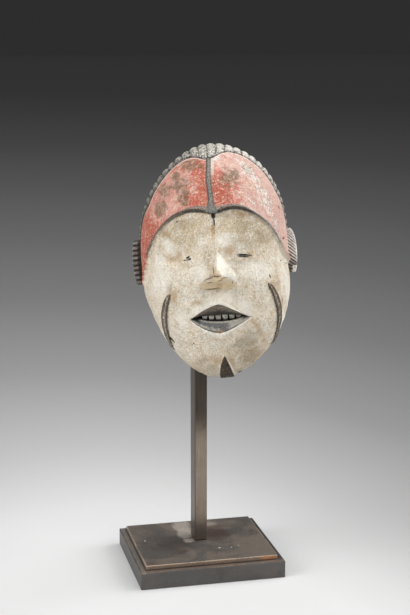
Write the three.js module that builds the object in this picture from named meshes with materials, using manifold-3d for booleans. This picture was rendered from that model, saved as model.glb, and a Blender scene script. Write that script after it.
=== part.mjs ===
// A carved and painted wooden face mask on a patinated metal stand.
// Millimetres, +Z up, -Y is the front. The origin is the middle of the base's underside.
import * as THREE from 'three';
import { mergeVertices } from 'three/addons/utils/BufferGeometryUtils.js';
import Module from 'manifold-3d';

const { PI, abs, atan2, cos, hypot, max, min, sin, sqrt } = Math;
const wasm = await Module();
wasm.setup();

// Stand
const FIT_GAP = 0.3;
const BASE = { width: 160, depth: 140, height: 19, edge: 0.8 };
const PLATE = { inset: 7, height: 5, edge: 0.6 };
const POST = { x: 1, y: 9, width: 14, depth: 22, top: 352, edge: 0.8 };
const ARM = { width: 10, thick: 4 };

// Mask: half width and reach above and below its widest level, then how deep it is.
const HALF_WIDTH = 77.2;
const CROWN = 136.8;
const CHIN = 108.9;
const DOME = 84;
const SKIRT_CHIN = 16;
const SKIRT_CROWN = 50;
const SKIRT_TAPER = 0.07;
const WALL = 11;
const POSE = { x: 14.2, y: -15, z: 329.1, yaw: -12, lean: 6, roll: 4.6 };

// Powers of the rounded outline, which is not the same on the left and the right.
const UPPER_LEFT = { across: 1.49, upward: 2.92 };
const UPPER_RIGHT = { across: 1.9, upward: 3.46 };
const LOWER_LEFT = { across: 2.14, upward: 1.4 };
const LOWER_RIGHT = { across: 1.64, upward: 2.14 };

// Forehead: the two brow arches, the band along them and the ridge between them.
const BROW = { centre: 20, halfSpan: 53.9, height: 72, dip: 4, band: 4.2 };
const FACE_SINK = 3.4;
const BAND_LIFT = 1.6;
const RIDGE = { x: -1.4, width: 5.2, lift: 1.8, bottom: 63, top: 123 };

// Hair: braids that run from the hairline back to the rim.
const HAIRLINE = { middle: 0.7, rise: 0.13, spread: PI / 20, turn: 0.21 * PI, fall: 0.38, over: PI / 7 };
const BRAIDS = { count: 38, fromAngle: 0.09 * PI, toAngle: 0.91 * PI, lift: 2.6, groove: 2.2 };

// Face
const EYE = { x: 28, z: 24.5, hollowX: 24, hollowZ: 19, sink: 4.2, slit: 15, slitHeight: 2.4 };
const BLIND_EYE = { x: -28, z: 26, slit: 4.5, height: 2.8 };
const NOSE = { x: 1.5, bridge: 31, tip: 7, lift: 14, root: 2.4, wing: 20, under: -8.5, levels: 6 };
const MOUTH = { x: -0.6, z: -37.2, half: 29.6, upper: 15, lower: 15, muzzle: 6, sink: 2.8, point: 2.7 };
const MOUTH_HOLE = { half: 26, upper: 3.8, lower: 3.6, sink: 7, point: 1.2 };
const TEETH = { count: 7, width: 5.6, height: 4.4, pitch: 6.3, sink: 3.6 };
const SCAR = { x: 57.4, z: -40, tall: 66, bulge: 9.2, width: 7.4, lift: 1.6 };
const WEDGE = { x: 0.8, top: -78.6, left: -4, right: 10.5, bottom: -105, lift: 2.2 };
const EAR = { z: 21.5, tall: 46, front: -44, deep: 15, out: 9.2, tips: 4, notches: 10, notch: 1.7 };

const GRID = { columns: 124, face: 8, field: 4, hair: 6, inner: 5 };

// Distance from the middle of the mask to its outline in the direction of an angle.
function outlineRadius(angle) {
  const across = abs(cos(angle)) / HALF_WIDTH;
  const above = sin(angle) >= 0;
  const upward = abs(sin(angle)) / (above ? CROWN : CHIN);
  const right = cos(angle) > 0;
  const upper = right ? UPPER_RIGHT : UPPER_LEFT;
  const lower = right ? LOWER_RIGHT : LOWER_LEFT;
  const power = above ? upper : lower;
  let low = 0;
  let high = 2 * CROWN;
  for (let step = 0; step < 50; step += 1) {
    const r = (low + high) / 2;
    const inside = (r * across) ** power.across + (r * upward) ** power.upward < 1;
    if (inside) low = r;
    else high = r;
  }
  return low;
}

// Depth of the straight side behind the outline, which is deeper at the crown than at the chin.
function skirtDepth(z) {
  const share = min(1, max(0, (z + CHIN) / (CROWN + CHIN)));
  return SKIRT_CHIN + (SKIRT_CROWN - SKIRT_CHIN) * share;
}

// Height of a brow arch above the eyes at a distance from the middle line.
function browHeight(x) {
  const side = abs(x);
  if (side <= BROW.centre) return BROW.height - BROW.dip * (1 - side / BROW.centre) ** 1.5;
  const t = min(1, (side - BROW.centre) / BROW.halfSpan);
  return BROW.height * sqrt(1 - t * t);
}

const bump = (x, z, width, height) => Math.exp(-((x / width) ** 2) - (z / height) ** 2);

// Carved relief of the face, outwards from the smooth shell.
function faceRelief(x, z) {
  const sockets = EYE.sink * bump(abs(x) - EYE.x, z - EYE.z, EYE.hollowX, EYE.hollowZ);
  const muzzle = MOUTH.muzzle * bump(x, z - MOUTH.z, MOUTH.half * 1.25, MOUTH.upper * 1.5);
  const fade = min(1, max(0, (z + 5) / 30));
  return muzzle - sockets - FACE_SINK * fade;
}

// A point of the shell: s runs from 0 at the nose to 1 on the outline and 2 on the rim.
function shellPoint(angle, s, lift, wall = 0) {
  const radius = outlineRadius(angle) - wall;
  const dome = DOME - wall;
  const skirt = skirtDepth(radius * sin(angle));
  const tilt = min(s, 1) * PI / 2;
  const back = max(s - 1, 0);
  const reach = sin(tilt) * (1 - SKIRT_TAPER * back * back);
  const outward = s < 1 ? sin(tilt) / radius : 1;
  const forward = s < 1 ? cos(tilt) / dome : 0;
  const unit = lift / hypot(outward, forward);
  const flat = radius * reach + outward * unit;
  const depth = skirt * (1 - back) + dome * cos(tilt) + forward * unit;
  return new THREE.Vector3(flat * cos(angle), -depth, flat * sin(angle));
}

// Depth of the carved face in front of the rim, at a place seen from the front.
function faceDepth(x, z) {
  const angle = atan2(z, x);
  const share = min(0.999, hypot(x, z) / outlineRadius(angle));
  const sinks = z < browHeight(x);
  const forward = sqrt(1 - share * share);
  const lift = sinks ? faceRelief(x, z) : 0;
  return skirtDepth(outlineRadius(angle) * sin(angle)) + DOME * forward + lift * forward;
}

// Share of the way from nose to outline where the brow band runs, in the direction of an angle.
function browShare(angle) {
  if (sin(angle) <= 0.02) return 0.86;
  let low = 0;
  let high = 1;
  for (let step = 0; step < 40; step += 1) {
    const s = (low + high) / 2;
    const r = outlineRadius(angle) * sin(s * PI / 2);
    if (r * sin(angle) < browHeight(r * cos(angle))) low = s;
    else high = s;
  }
  return min(low, 0.9);
}

function hairShare(angle) {
  const side = atan2(abs(cos(angle)), sin(angle));
  const rise = HAIRLINE.rise * (1 - Math.exp(-((side / HAIRLINE.spread) ** 2)));
  const fall = HAIRLINE.fall * (max(0, side - HAIRLINE.turn) / HAIRLINE.over) ** 1.3;
  return min(1.3, HAIRLINE.middle + rise + fall);
}

// The rows of the carved front: each is a share s and how far it is lifted.
function columnRows(angle, groove) {
  const brow = browShare(angle);
  const hair = hairShare(angle);
  const band = BROW.band / outlineRadius(angle);
  const upper = sin(angle) > 0.02;
  const hairy = angle > BRAIDS.fromAngle && angle < BRAIDS.toAngle;
  const rows = [];
  const radius = outlineRadius(angle);
  const relief = (s) => faceRelief(radius * sin(s * PI / 2) * cos(angle), radius * sin(s * PI / 2) * sin(angle));
  for (let i = 1; i <= GRID.face; i += 1) {
    const s = (brow - band / 2) * i / GRID.face;
    rows.push([s, relief(s)]);
  }
  rows.push([brow, upper ? BAND_LIFT : relief(brow)]);
  rows.push([brow + band, upper ? BAND_LIFT * 0.6 : relief(brow + band)]);
  const start = brow + band;
  for (let i = 1; i <= GRID.field; i += 1) {
    const s = start + (hair - start) * i / GRID.field;
    rows.push([s, upper ? 0 : relief(min(s, 1)) * max(0, 1 - s)]);
  }
  for (let i = 0; i <= GRID.hair; i += 1) {
    const s = hair + 0.02 + (2 - hair - 0.02) * i / GRID.hair;
    rows.push([s, hairy ? BRAIDS.lift - BRAIDS.groove * groove : 0]);
  }
  return rows;
}

// Angles of the columns: one on each braid and one in each groove, and even steps below the ears.
function columnAngles() {
  const angles = [];
  const span = BRAIDS.toAngle - BRAIDS.fromAngle;
  for (let i = 0; i < 2 * BRAIDS.count; i += 1) {
    angles.push([BRAIDS.fromAngle + span * (i + 0.5) / (2 * BRAIDS.count), i % 2]);
  }
  const rest = GRID.columns - angles.length;
  for (let i = 0; i < rest; i += 1) {
    angles.push([BRAIDS.toAngle + (2 * PI - span) * (i + 0.5) / rest, 0]);
  }
  return angles;
}

// The hollow shell: carved front, flat rim and smooth inside, as one closed surface.
function shellGeometry() {
  const columns = columnAngles().map(([angle, groove]) => {
    const outer = columnRows(angle, groove).map(([s, lift]) => shellPoint(angle, s, lift));
    const inner = [];
    for (let i = GRID.inner; i > 0; i -= 1) {
      inner.push(shellPoint(angle, 2 * i / GRID.inner, 0, WALL));
    }
    return [...outer, ...inner];
  });
  const front = shellPoint(0, 0, faceRelief(0, 0));
  const back = shellPoint(0, 0, 0, WALL);
  const depth = columns[0].length;
  const vertices = [front, back, ...columns.flat()];
  const at = (column, row) => 2 + (column % columns.length) * depth + row;
  const faces = [];
  for (let c = 0; c < columns.length; c += 1) {
    faces.push(0, at(c, 0), at(c + 1, 0));
    faces.push(1, at(c + 1, depth - 1), at(c, depth - 1));
    for (let r = 0; r < depth - 1; r += 1) {
      faces.push(at(c, r), at(c, r + 1), at(c + 1, r + 1));
      faces.push(at(c, r), at(c + 1, r + 1), at(c + 1, r));
    }
  }
  const geometry = new THREE.BufferGeometry();
  geometry.setAttribute('position', new THREE.Float32BufferAttribute(vertices.flatMap((v) => v.toArray()), 3));
  geometry.setIndex(faces);
  return geometry;
}

// Booleans
function toSolid(source) {
  const geometry = source.clone();
  geometry.deleteAttribute('normal');
  geometry.deleteAttribute('uv');
  const merged = mergeVertices(geometry, 1e-4);
  return new wasm.Manifold(new wasm.Mesh({
    numProp: 3,
    vertProperties: new Float32Array(merged.attributes.position.array),
    triVerts: new Uint32Array(merged.index.array),
  }));
}

function toGeometry(solid) {
  const mesh = solid.getMesh();
  const geometry = new THREE.BufferGeometry();
  geometry.setAttribute('position', new THREE.BufferAttribute(new Float32Array(mesh.vertProperties), 3));
  geometry.setIndex(new THREE.BufferAttribute(new Uint32Array(mesh.triVerts), 1));
  geometry.computeVertexNormals();
  return geometry;
}

// An outline seen from the front, laid on the face: from below its surface to a lift above it.
function laidOnFace(points, lift, root = 3.5) {
  const shape = new THREE.Shape(points);
  const geometry = new THREE.ExtrudeGeometry(shape, { depth: 1, bevelEnabled: false, steps: 1 });
  const position = geometry.attributes.position;
  for (let i = 0; i < position.count; i += 1) {
    const place = onFace(position.getX(i), position.getY(i), position.getZ(i) > 0.5 ? lift : -root);
    position.setXYZ(i, place.x, place.y, place.z);
  }
  return toSolid(geometry);
}

// A place on the face seen from the front, kept inside the outline and lifted off the surface.
function onFace(x, z, lift) {
  const share = hypot(x, z) / (0.97 * outlineRadius(atan2(z, x)));
  const keep = share > 1 ? 1 / share : 1;
  return new THREE.Vector3(x * keep, -(faceDepth(x * keep, z * keep) + lift), z * keep);
}

const flat = (x, z) => new THREE.Vector2(x, z);

// A lens with two arched edges, as the lips and the mouth opening have.
function lens({ x, z, half, upper, lower, point, steps = 12 }) {
  const points = [];
  for (let i = 0; i < steps; i += 1) {
    const t = PI * i / steps;
    points.push(flat(x + half * cos(t), z + upper * sin(t) ** point));
  }
  for (let i = 0; i < steps; i += 1) {
    const t = PI * i / steps;
    points.push(flat(x - half * cos(t), z - lower * sin(t) ** point));
  }
  return points;
}

// A crescent on a cheek, drawn down from beside the nose to the jaw.
function crescent(side) {
  const steps = 9;
  const outer = [];
  const inner = [];
  for (let i = 0; i <= steps; i += 1) {
    const t = 2 * i / steps - 1;
    const x = SCAR.x - SCAR.bulge * t * t;
    const half = SCAR.width / 2 * sqrt(max(0, 1 - t * t)) + 0.3;
    const z = SCAR.z - t * SCAR.tall / 2;
    outer.push(flat(side * (x + half), z));
    inner.unshift(flat(side * (x - half), z));
  }
  return [...outer, ...inner];
}

function ridgeOutline() {
  const steps = 8;
  const left = [];
  const right = [];
  for (let i = 0; i <= steps; i += 1) {
    const z = RIDGE.bottom + (RIDGE.top - RIDGE.bottom) * i / steps;
    right.push(flat(RIDGE.x + RIDGE.width / 2, z));
    left.unshift(flat(RIDGE.x - RIDGE.width / 2, z));
  }
  return [...right, ...left];
}

// The wedge on the chin: narrow at the top and broad at the bottom edge.
function wedgeOutline() {
  const steps = 6;
  const left = [];
  const right = [];
  for (let i = 0; i <= steps; i += 1) {
    const t = i / steps;
    const z = WEDGE.top + (WEDGE.bottom - WEDGE.top) * t;
    left.push(flat(WEDGE.x - 0.8 + (WEDGE.left - WEDGE.x) * t, z));
    right.unshift(flat(WEDGE.x + 0.8 + (WEDGE.right - WEDGE.x) * t, z));
  }
  return [...left, ...right];
}

// A solid through a row of rings, closed at both ends.
function loftSolid(rings) {
  const count = rings[0].length;
  const centre = (ring) => ring.reduce((sum, p) => sum.add(p), new THREE.Vector3()).divideScalar(count);
  const vertices = [...rings.flat(), centre(rings[0]), centre(rings.at(-1))];
  const first = rings.length * count;
  const last = (rings.length - 1) * count;
  const faces = [];
  for (let i = 0; i < count; i += 1) {
    const next = (i + 1) % count;
    faces.push(first, i, next, first + 1, last + next, last + i);
    for (let r = 0; r < rings.length - 1; r += 1) {
      const near = r * count;
      const far = near + count;
      faces.push(near + i, far + i, near + next, near + next, far + i, far + next);
    }
  }
  const geometry = new THREE.BufferGeometry();
  geometry.setAttribute('position', new THREE.Float32BufferAttribute(vertices.flatMap((v) => v.toArray()), 3));
  geometry.setIndex(faces);
  return toSolid(geometry);
}

// One level across the nose: an arch from wing to wing, and two corners inside the wood.
function noseRing(z, half, lift) {
  const ring = [];
  const steps = 8;
  for (let i = 0; i <= steps; i += 1) {
    const u = 2 * i / steps - 1;
    ring.push(onFace(NOSE.x * half / NOSE.wing + half * u, z, lift * (1 - abs(u) ** 1.5) + 0.2));
  }
  ring.push(onFace(half, z, -5), onFace(-half, z, -5));
  return ring;
}

// The nose: it widens and rises from the bridge to its tip, and slants back underneath.
function noseSolid() {
  const rings = [];
  for (let i = 0; i <= NOSE.levels; i += 1) {
    const t = i / NOSE.levels;
    const half = NOSE.root + (NOSE.wing - NOSE.root) * t ** 1.7;
    rings.push(noseRing(NOSE.bridge + (NOSE.tip - NOSE.bridge) * t, half, NOSE.lift * t ** 1.15));
  }
  rings.push(noseRing(NOSE.tip + (NOSE.under - NOSE.tip) * 0.45, NOSE.wing, NOSE.lift * 0.5));
  rings.push(noseRing(NOSE.under, NOSE.wing * 0.8, 0.3));
  return loftSolid(rings);
}

// One ear: a crescent flange whose outer edge is notched from top to bottom.
function earSolid(side) {
  const steps = 2 * EAR.notches;
  const rings = [];
  for (let i = 0; i <= steps; i += 1) {
    const t = 2 * i / steps - 1;
    const curve = sqrt(1 - 0.82 * t * t);
    const notch = i % 2 ? 0 : EAR.notch;
    const out = HALF_WIDTH + EAR.tips + (EAR.out - EAR.tips) * curve - notch;
    const front = EAR.front + 5 * t * t + notch * 0.7;
    const back = EAR.front + EAR.deep * (0.45 + 0.55 * curve);
    const z = EAR.z + t * EAR.tall / 2;
    const root = outlineRadius(atan2(z, HALF_WIDTH)) * cos(atan2(z, HALF_WIDTH)) - 0.6 * WALL;
    const ring = [[root, front], [out - 2, front], [out, front + 2], [out - 1, back], [root, back]];
    rings.push(ring.map(([x, y]) => new THREE.Vector3(side * x, y, z)));
  }
  if (side > 0) rings.forEach((ring) => ring.reverse());
  return loftSolid(rings);
}

function slitSolid(x, z, width, height) {
  const points = lens({ x, z, half: width / 2, upper: height / 2, lower: height / 2, point: 0.8, steps: 5 });
  return laidOnFace(points, 8, 2.5 * WALL);
}

function toothSolid(index) {
  const x = MOUTH.x + (index - (TEETH.count - 1) / 2) * TEETH.pitch;
  const top = MOUTH.z + MOUTH_HOLE.upper + 1;
  const half = TEETH.width / 2;
  const points = [flat(x - half, top), flat(x - half * 0.85, top - TEETH.height)];
  points.push(flat(x + half * 0.85, top - TEETH.height), flat(x + half, top));
  return laidOnFace(points, -TEETH.sink, MOUTH_HOLE.sink + 2);
}

function maskGeometry() {
  let mask = toSolid(shellGeometry());
  mask = mask.add(laidOnFace(ridgeOutline(), RIDGE.lift));
  mask = mask.add(noseSolid());
  mask = mask.subtract(laidOnFace(lens(MOUTH), 20, MOUTH.sink));
  const hole = lens({ x: MOUTH.x, z: MOUTH.z, ...MOUTH_HOLE });
  mask = mask.subtract(laidOnFace(hole, 20, MOUTH_HOLE.sink));
  for (let i = 0; i < TEETH.count; i += 1) mask = mask.add(toothSolid(i));
  for (const side of [-1, 1]) {
    mask = mask.add(laidOnFace(crescent(side), SCAR.lift));
    mask = mask.add(earSolid(side));
  }
  mask = mask.add(laidOnFace(wedgeOutline(), WEDGE.lift));
  mask = mask.subtract(slitSolid(EYE.x, EYE.z, EYE.slit, EYE.slitHeight));
  mask = mask.subtract(slitSolid(BLIND_EYE.x, BLIND_EYE.z, BLIND_EYE.slit, BLIND_EYE.height));
  return toGeometry(mask);
}

// Stand pieces
function bevelledBlock(width, depth, height, edge) {
  const halfWidth = width / 2 - edge;
  const halfDepth = depth / 2 - edge;
  const shape = new THREE.Shape([
    flat(-halfWidth, -halfDepth), flat(halfWidth, -halfDepth), flat(halfWidth, halfDepth), flat(-halfWidth, halfDepth),
  ]);
  return new THREE.ExtrudeGeometry(shape, {
    depth: height - 2 * edge,
    bevelEnabled: true,
    bevelThickness: edge,
    bevelSize: edge,
    bevelSegments: 1,
  }).translate(0, 0, edge);
}

function armGeometry(profile) {
  const shape = new THREE.Shape(profile);
  const geometry = new THREE.ExtrudeGeometry(shape, { depth: ARM.width, bevelEnabled: false });
  return geometry.applyMatrix4(new THREE.Matrix4().set(0, 0, 1, -ARM.width / 2, 1, 0, 0, 0, 0, 1, 0, 0, 0, 0, 0, 1));
}

// A bent strip seen from the side: its middle line given a thickness.
function stripProfile(line) {
  const left = [];
  const right = [];
  line.forEach((p, i) => {
    const before = line[max(0, i - 1)];
    const after = line[min(line.length - 1, i + 1)];
    const along = after.clone().sub(before).normalize();
    const side = flat(-along.y, along.x).multiplyScalar(ARM.thick / 2);
    left.push(p.clone().add(side));
    right.unshift(p.clone().sub(side));
  });
  return [...left, ...right];
}

const wood = new THREE.MeshStandardMaterial({ color: 0xd9d0bf, roughness: 0.8, metalness: 0 });
const patina = new THREE.MeshStandardMaterial({ color: 0x55504a, roughness: 0.4, metalness: 0.7 });
const bronze = new THREE.MeshStandardMaterial({ color: 0x6b6058, roughness: 0.38, metalness: 0.8 });

const group = new THREE.Group();

function add(name, geometry, material, parent = group) {
  const mesh = new THREE.Mesh(geometry, material);
  mesh.name = name;
  parent.add(mesh);
  return mesh;
}

add('base_block', bevelledBlock(BASE.width, BASE.depth, BASE.height, BASE.edge), patina);
const plateWidth = BASE.width - 2 * PLATE.inset;
const plateDepth = BASE.depth - 2 * PLATE.inset;
const plateFoot = BASE.height + FIT_GAP;
const plateHeight = PLATE.height - FIT_GAP;
add('base_plate', bevelledBlock(plateWidth, plateDepth, plateHeight, PLATE.edge), patina)
  .position.set(0, 0, plateFoot);

const plateTop = BASE.height + PLATE.height;
const postFoot = plateTop + FIT_GAP;
add('post', bevelledBlock(POST.width, POST.depth, POST.top - postFoot, POST.edge), bronze)
  .position.set(POST.x, POST.y, postFoot);

const maskFrame = new THREE.Group();
maskFrame.position.set(POSE.x, POSE.y, POSE.z);
maskFrame.rotation.set(
  -THREE.MathUtils.degToRad(POSE.lean),
  -THREE.MathUtils.degToRad(POSE.roll),
  THREE.MathUtils.degToRad(POSE.yaw),
  'ZXY',
);
group.add(maskFrame);
add('mask', maskGeometry(), wood, maskFrame);

// The two bent arms reach from the post into the hollow: one under the crown, one on the chin.
const CROWN_ARM = { knee: 388, y: -36, z: 454.2 };
const CHIN_ARM = { z: 258, knee: -36, end: 239.9 };
const crownFoot = POST.top + FIT_GAP;
const crownLine = [flat(POST.y, crownFoot), flat(POST.y, CROWN_ARM.knee), flat(CROWN_ARM.y, CROWN_ARM.z)];
add('crown_arm', armGeometry(stripProfile(crownLine)), bronze).position.set(POST.x, 0, 0);

const postFront = POST.y - POST.depth / 2 - FIT_GAP;
const chinLine = [
  flat(postFront, CHIN_ARM.z), flat(CHIN_ARM.knee, CHIN_ARM.z), flat(CHIN_ARM.knee - 6, CHIN_ARM.z - 6),
  flat(CHIN_ARM.knee - 6, CHIN_ARM.end),
];
add('chin_arm', armGeometry(stripProfile(chinLine)), bronze).position.set(POST.x, 0, 0);

export default group;
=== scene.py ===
"""A carved and painted wooden face mask, held on a square metal post over a two-step metal base.

The mask's own sizes are in millimetres in the mask's frame: x to its right as seen, y to the back, z up.
The stand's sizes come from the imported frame, in metres, and every finished mesh is in metres.
"""

import logging
import math
from collections.abc import Sequence
from dataclasses import dataclass, field, fields
from enum import Enum

import bmesh
import bpy
import numpy as np
from mathutils import Matrix, Vector


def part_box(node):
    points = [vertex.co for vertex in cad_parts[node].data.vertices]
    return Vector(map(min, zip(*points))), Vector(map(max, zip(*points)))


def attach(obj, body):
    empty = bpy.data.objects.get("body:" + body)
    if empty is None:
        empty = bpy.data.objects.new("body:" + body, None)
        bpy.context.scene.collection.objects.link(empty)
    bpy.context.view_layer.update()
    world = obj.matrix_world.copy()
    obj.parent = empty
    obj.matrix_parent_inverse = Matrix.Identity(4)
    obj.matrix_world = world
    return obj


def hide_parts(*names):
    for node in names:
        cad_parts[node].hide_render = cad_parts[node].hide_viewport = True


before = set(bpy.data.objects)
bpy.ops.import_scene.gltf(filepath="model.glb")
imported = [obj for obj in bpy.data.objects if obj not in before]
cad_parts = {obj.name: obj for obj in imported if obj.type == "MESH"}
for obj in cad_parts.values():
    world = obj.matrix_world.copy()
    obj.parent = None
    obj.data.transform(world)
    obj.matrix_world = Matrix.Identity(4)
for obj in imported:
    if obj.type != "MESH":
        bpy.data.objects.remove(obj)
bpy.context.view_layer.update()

log = logging.getLogger("mask")
MM = 0.001
BODY = "root"
# The half size of a stain, in metres, along an axis on which it has no end.
FAR = 9.0
# What is stored where no mark of a group is near.
UNCOVERED = -1.5
Array = np.ndarray
Material = bpy.types.Material
Piece = bpy.types.Object
Socket = bpy.types.NodeSocket
Colour = tuple[float, float, float, float]
Triple = tuple[float, float, float]


def paint(code: str) -> Colour:
    """Turns a colour as a painter reads it off a chart into the shader's linear values.

    Args:
        code: six hexadecimal digits, such as "c8654f".

    Returns:
        The linear red, green and blue, and an alpha of 1.
    """
    parts = [int(code[i : i + 2], 16) / 255 for i in (0, 2, 4)]
    linear = [p / 12.92 if p <= 0.04045 else ((p + 0.055) / 1.055) ** 2.4 for p in parts]
    return (*linear, 1.0)


def smooth(low: float | Array, high: float | Array, value: Array) -> Array:
    """Rises from 0 at low to 1 at high with soft ends."""
    t = np.clip((value - low) / (high - low), 0, 1)
    return t * t * (3 - 2 * t)


def hump(value: Array, width: float | Array) -> Array:
    """A soft bell of the given width around zero."""
    return np.exp(-((value / width) ** 2))


def arc(share: Array) -> Array:
    """Half a wave, from 0 up to 1 and back, while the share goes from 0 to 1."""
    return np.sin(np.clip(share, 0, 1) * math.pi)


def chatter(x: Array, z: Array, grain: float, seed: int, waves: int = 14, spread: float = 5) -> Array:
    """An uneven hand-cut surface between about -1 and 1, the same on every run.

    Args:
        x: places across, in millimetres.
        z: places up, in millimetres.
        grain: the usual distance between two high spots.
        seed: picks one of many such surfaces.
        waves: how many waves are laid over one another.
        spread: what their sum is divided by.

    Returns:
        The height at each place.
    """
    dice = np.random.default_rng(seed)
    total = np.zeros_like(x)
    for _ in range(waves):
        turn, phase = dice.uniform(0, 2 * math.pi, 2)
        pitch = grain * dice.uniform(0.7, 1.6)
        total += np.sin((x * math.cos(turn) + z * math.sin(turn)) * 2 * math.pi / pitch + phase)
    return total / spread


def hewn(x: Array, z: Array, layers: Sequence[tuple[float, float, int]]) -> Array:
    """Adds hand-cut surfaces together, each given by its height, its grain and its seed."""
    return sum(height * chatter(x, z, grain, seed) for height, grain, seed in layers)


class Signal:
    """A shader socket that Python expressions can add, multiply and compare."""

    def __init__(self, kit: "NodeKit", socket: Socket) -> None:
        self.kit = kit
        self.socket = socket

    def _math(self, operation: str, first: object, second: object = 0.0) -> "Signal":
        """Makes one Math node."""
        made = self.kit.node("ShaderNodeMath", {"operation": operation}, {0: first, 1: second})
        return Signal(self.kit, made.outputs[0])

    def __add__(self, other: object) -> "Signal":
        """Adds."""
        return self._math("ADD", self, other)

    def __sub__(self, other: object) -> "Signal":
        """Subtracts."""
        return self._math("SUBTRACT", self, other)

    def __rsub__(self, other: object) -> "Signal":
        """Subtracts from a number."""
        return self._math("SUBTRACT", other, self)

    def __mul__(self, other: object) -> "Signal":
        """Multiplies."""
        return self._math("MULTIPLY", self, other)

    def __truediv__(self, other: object) -> "Signal":
        """Divides."""
        return self._math("DIVIDE", self, other)

    def __abs__(self) -> "Signal":
        """The size without the sign."""
        return self._math("ABSOLUTE", self)

    __radd__ = __add__
    __rmul__ = __mul__

    def most(self, other: object) -> "Signal":
        """The larger of the two."""
        return self._math("MAXIMUM", self, other)

    def log(self, base: float) -> "Signal":
        """The logarithm to a base."""
        return self._math("LOGARITHM", self, base)

    def stray(self, amount: float) -> "Signal":
        """How far a pattern between 0 and 1 strays from its middle, times an amount."""
        return (self - 0.5) * amount

    def rise(self, low: float, high: float) -> "Signal":
        """Goes softly from 0 to 1, or the other way where low is the larger.

        Args:
            low: where the result is 0.
            high: where the result is 1.

        Returns:
            The eased signal.
        """
        flipped = low > high
        ends = {"From Min": min(low, high), "From Max": max(low, high)}
        ends |= {"To Min": float(flipped), "To Max": float(not flipped), "Value": self}
        made = self.kit.node("ShaderNodeMapRange", {"interpolation_type": "SMOOTHSTEP"}, ends)
        return Signal(self.kit, made.outputs[0])


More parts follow.
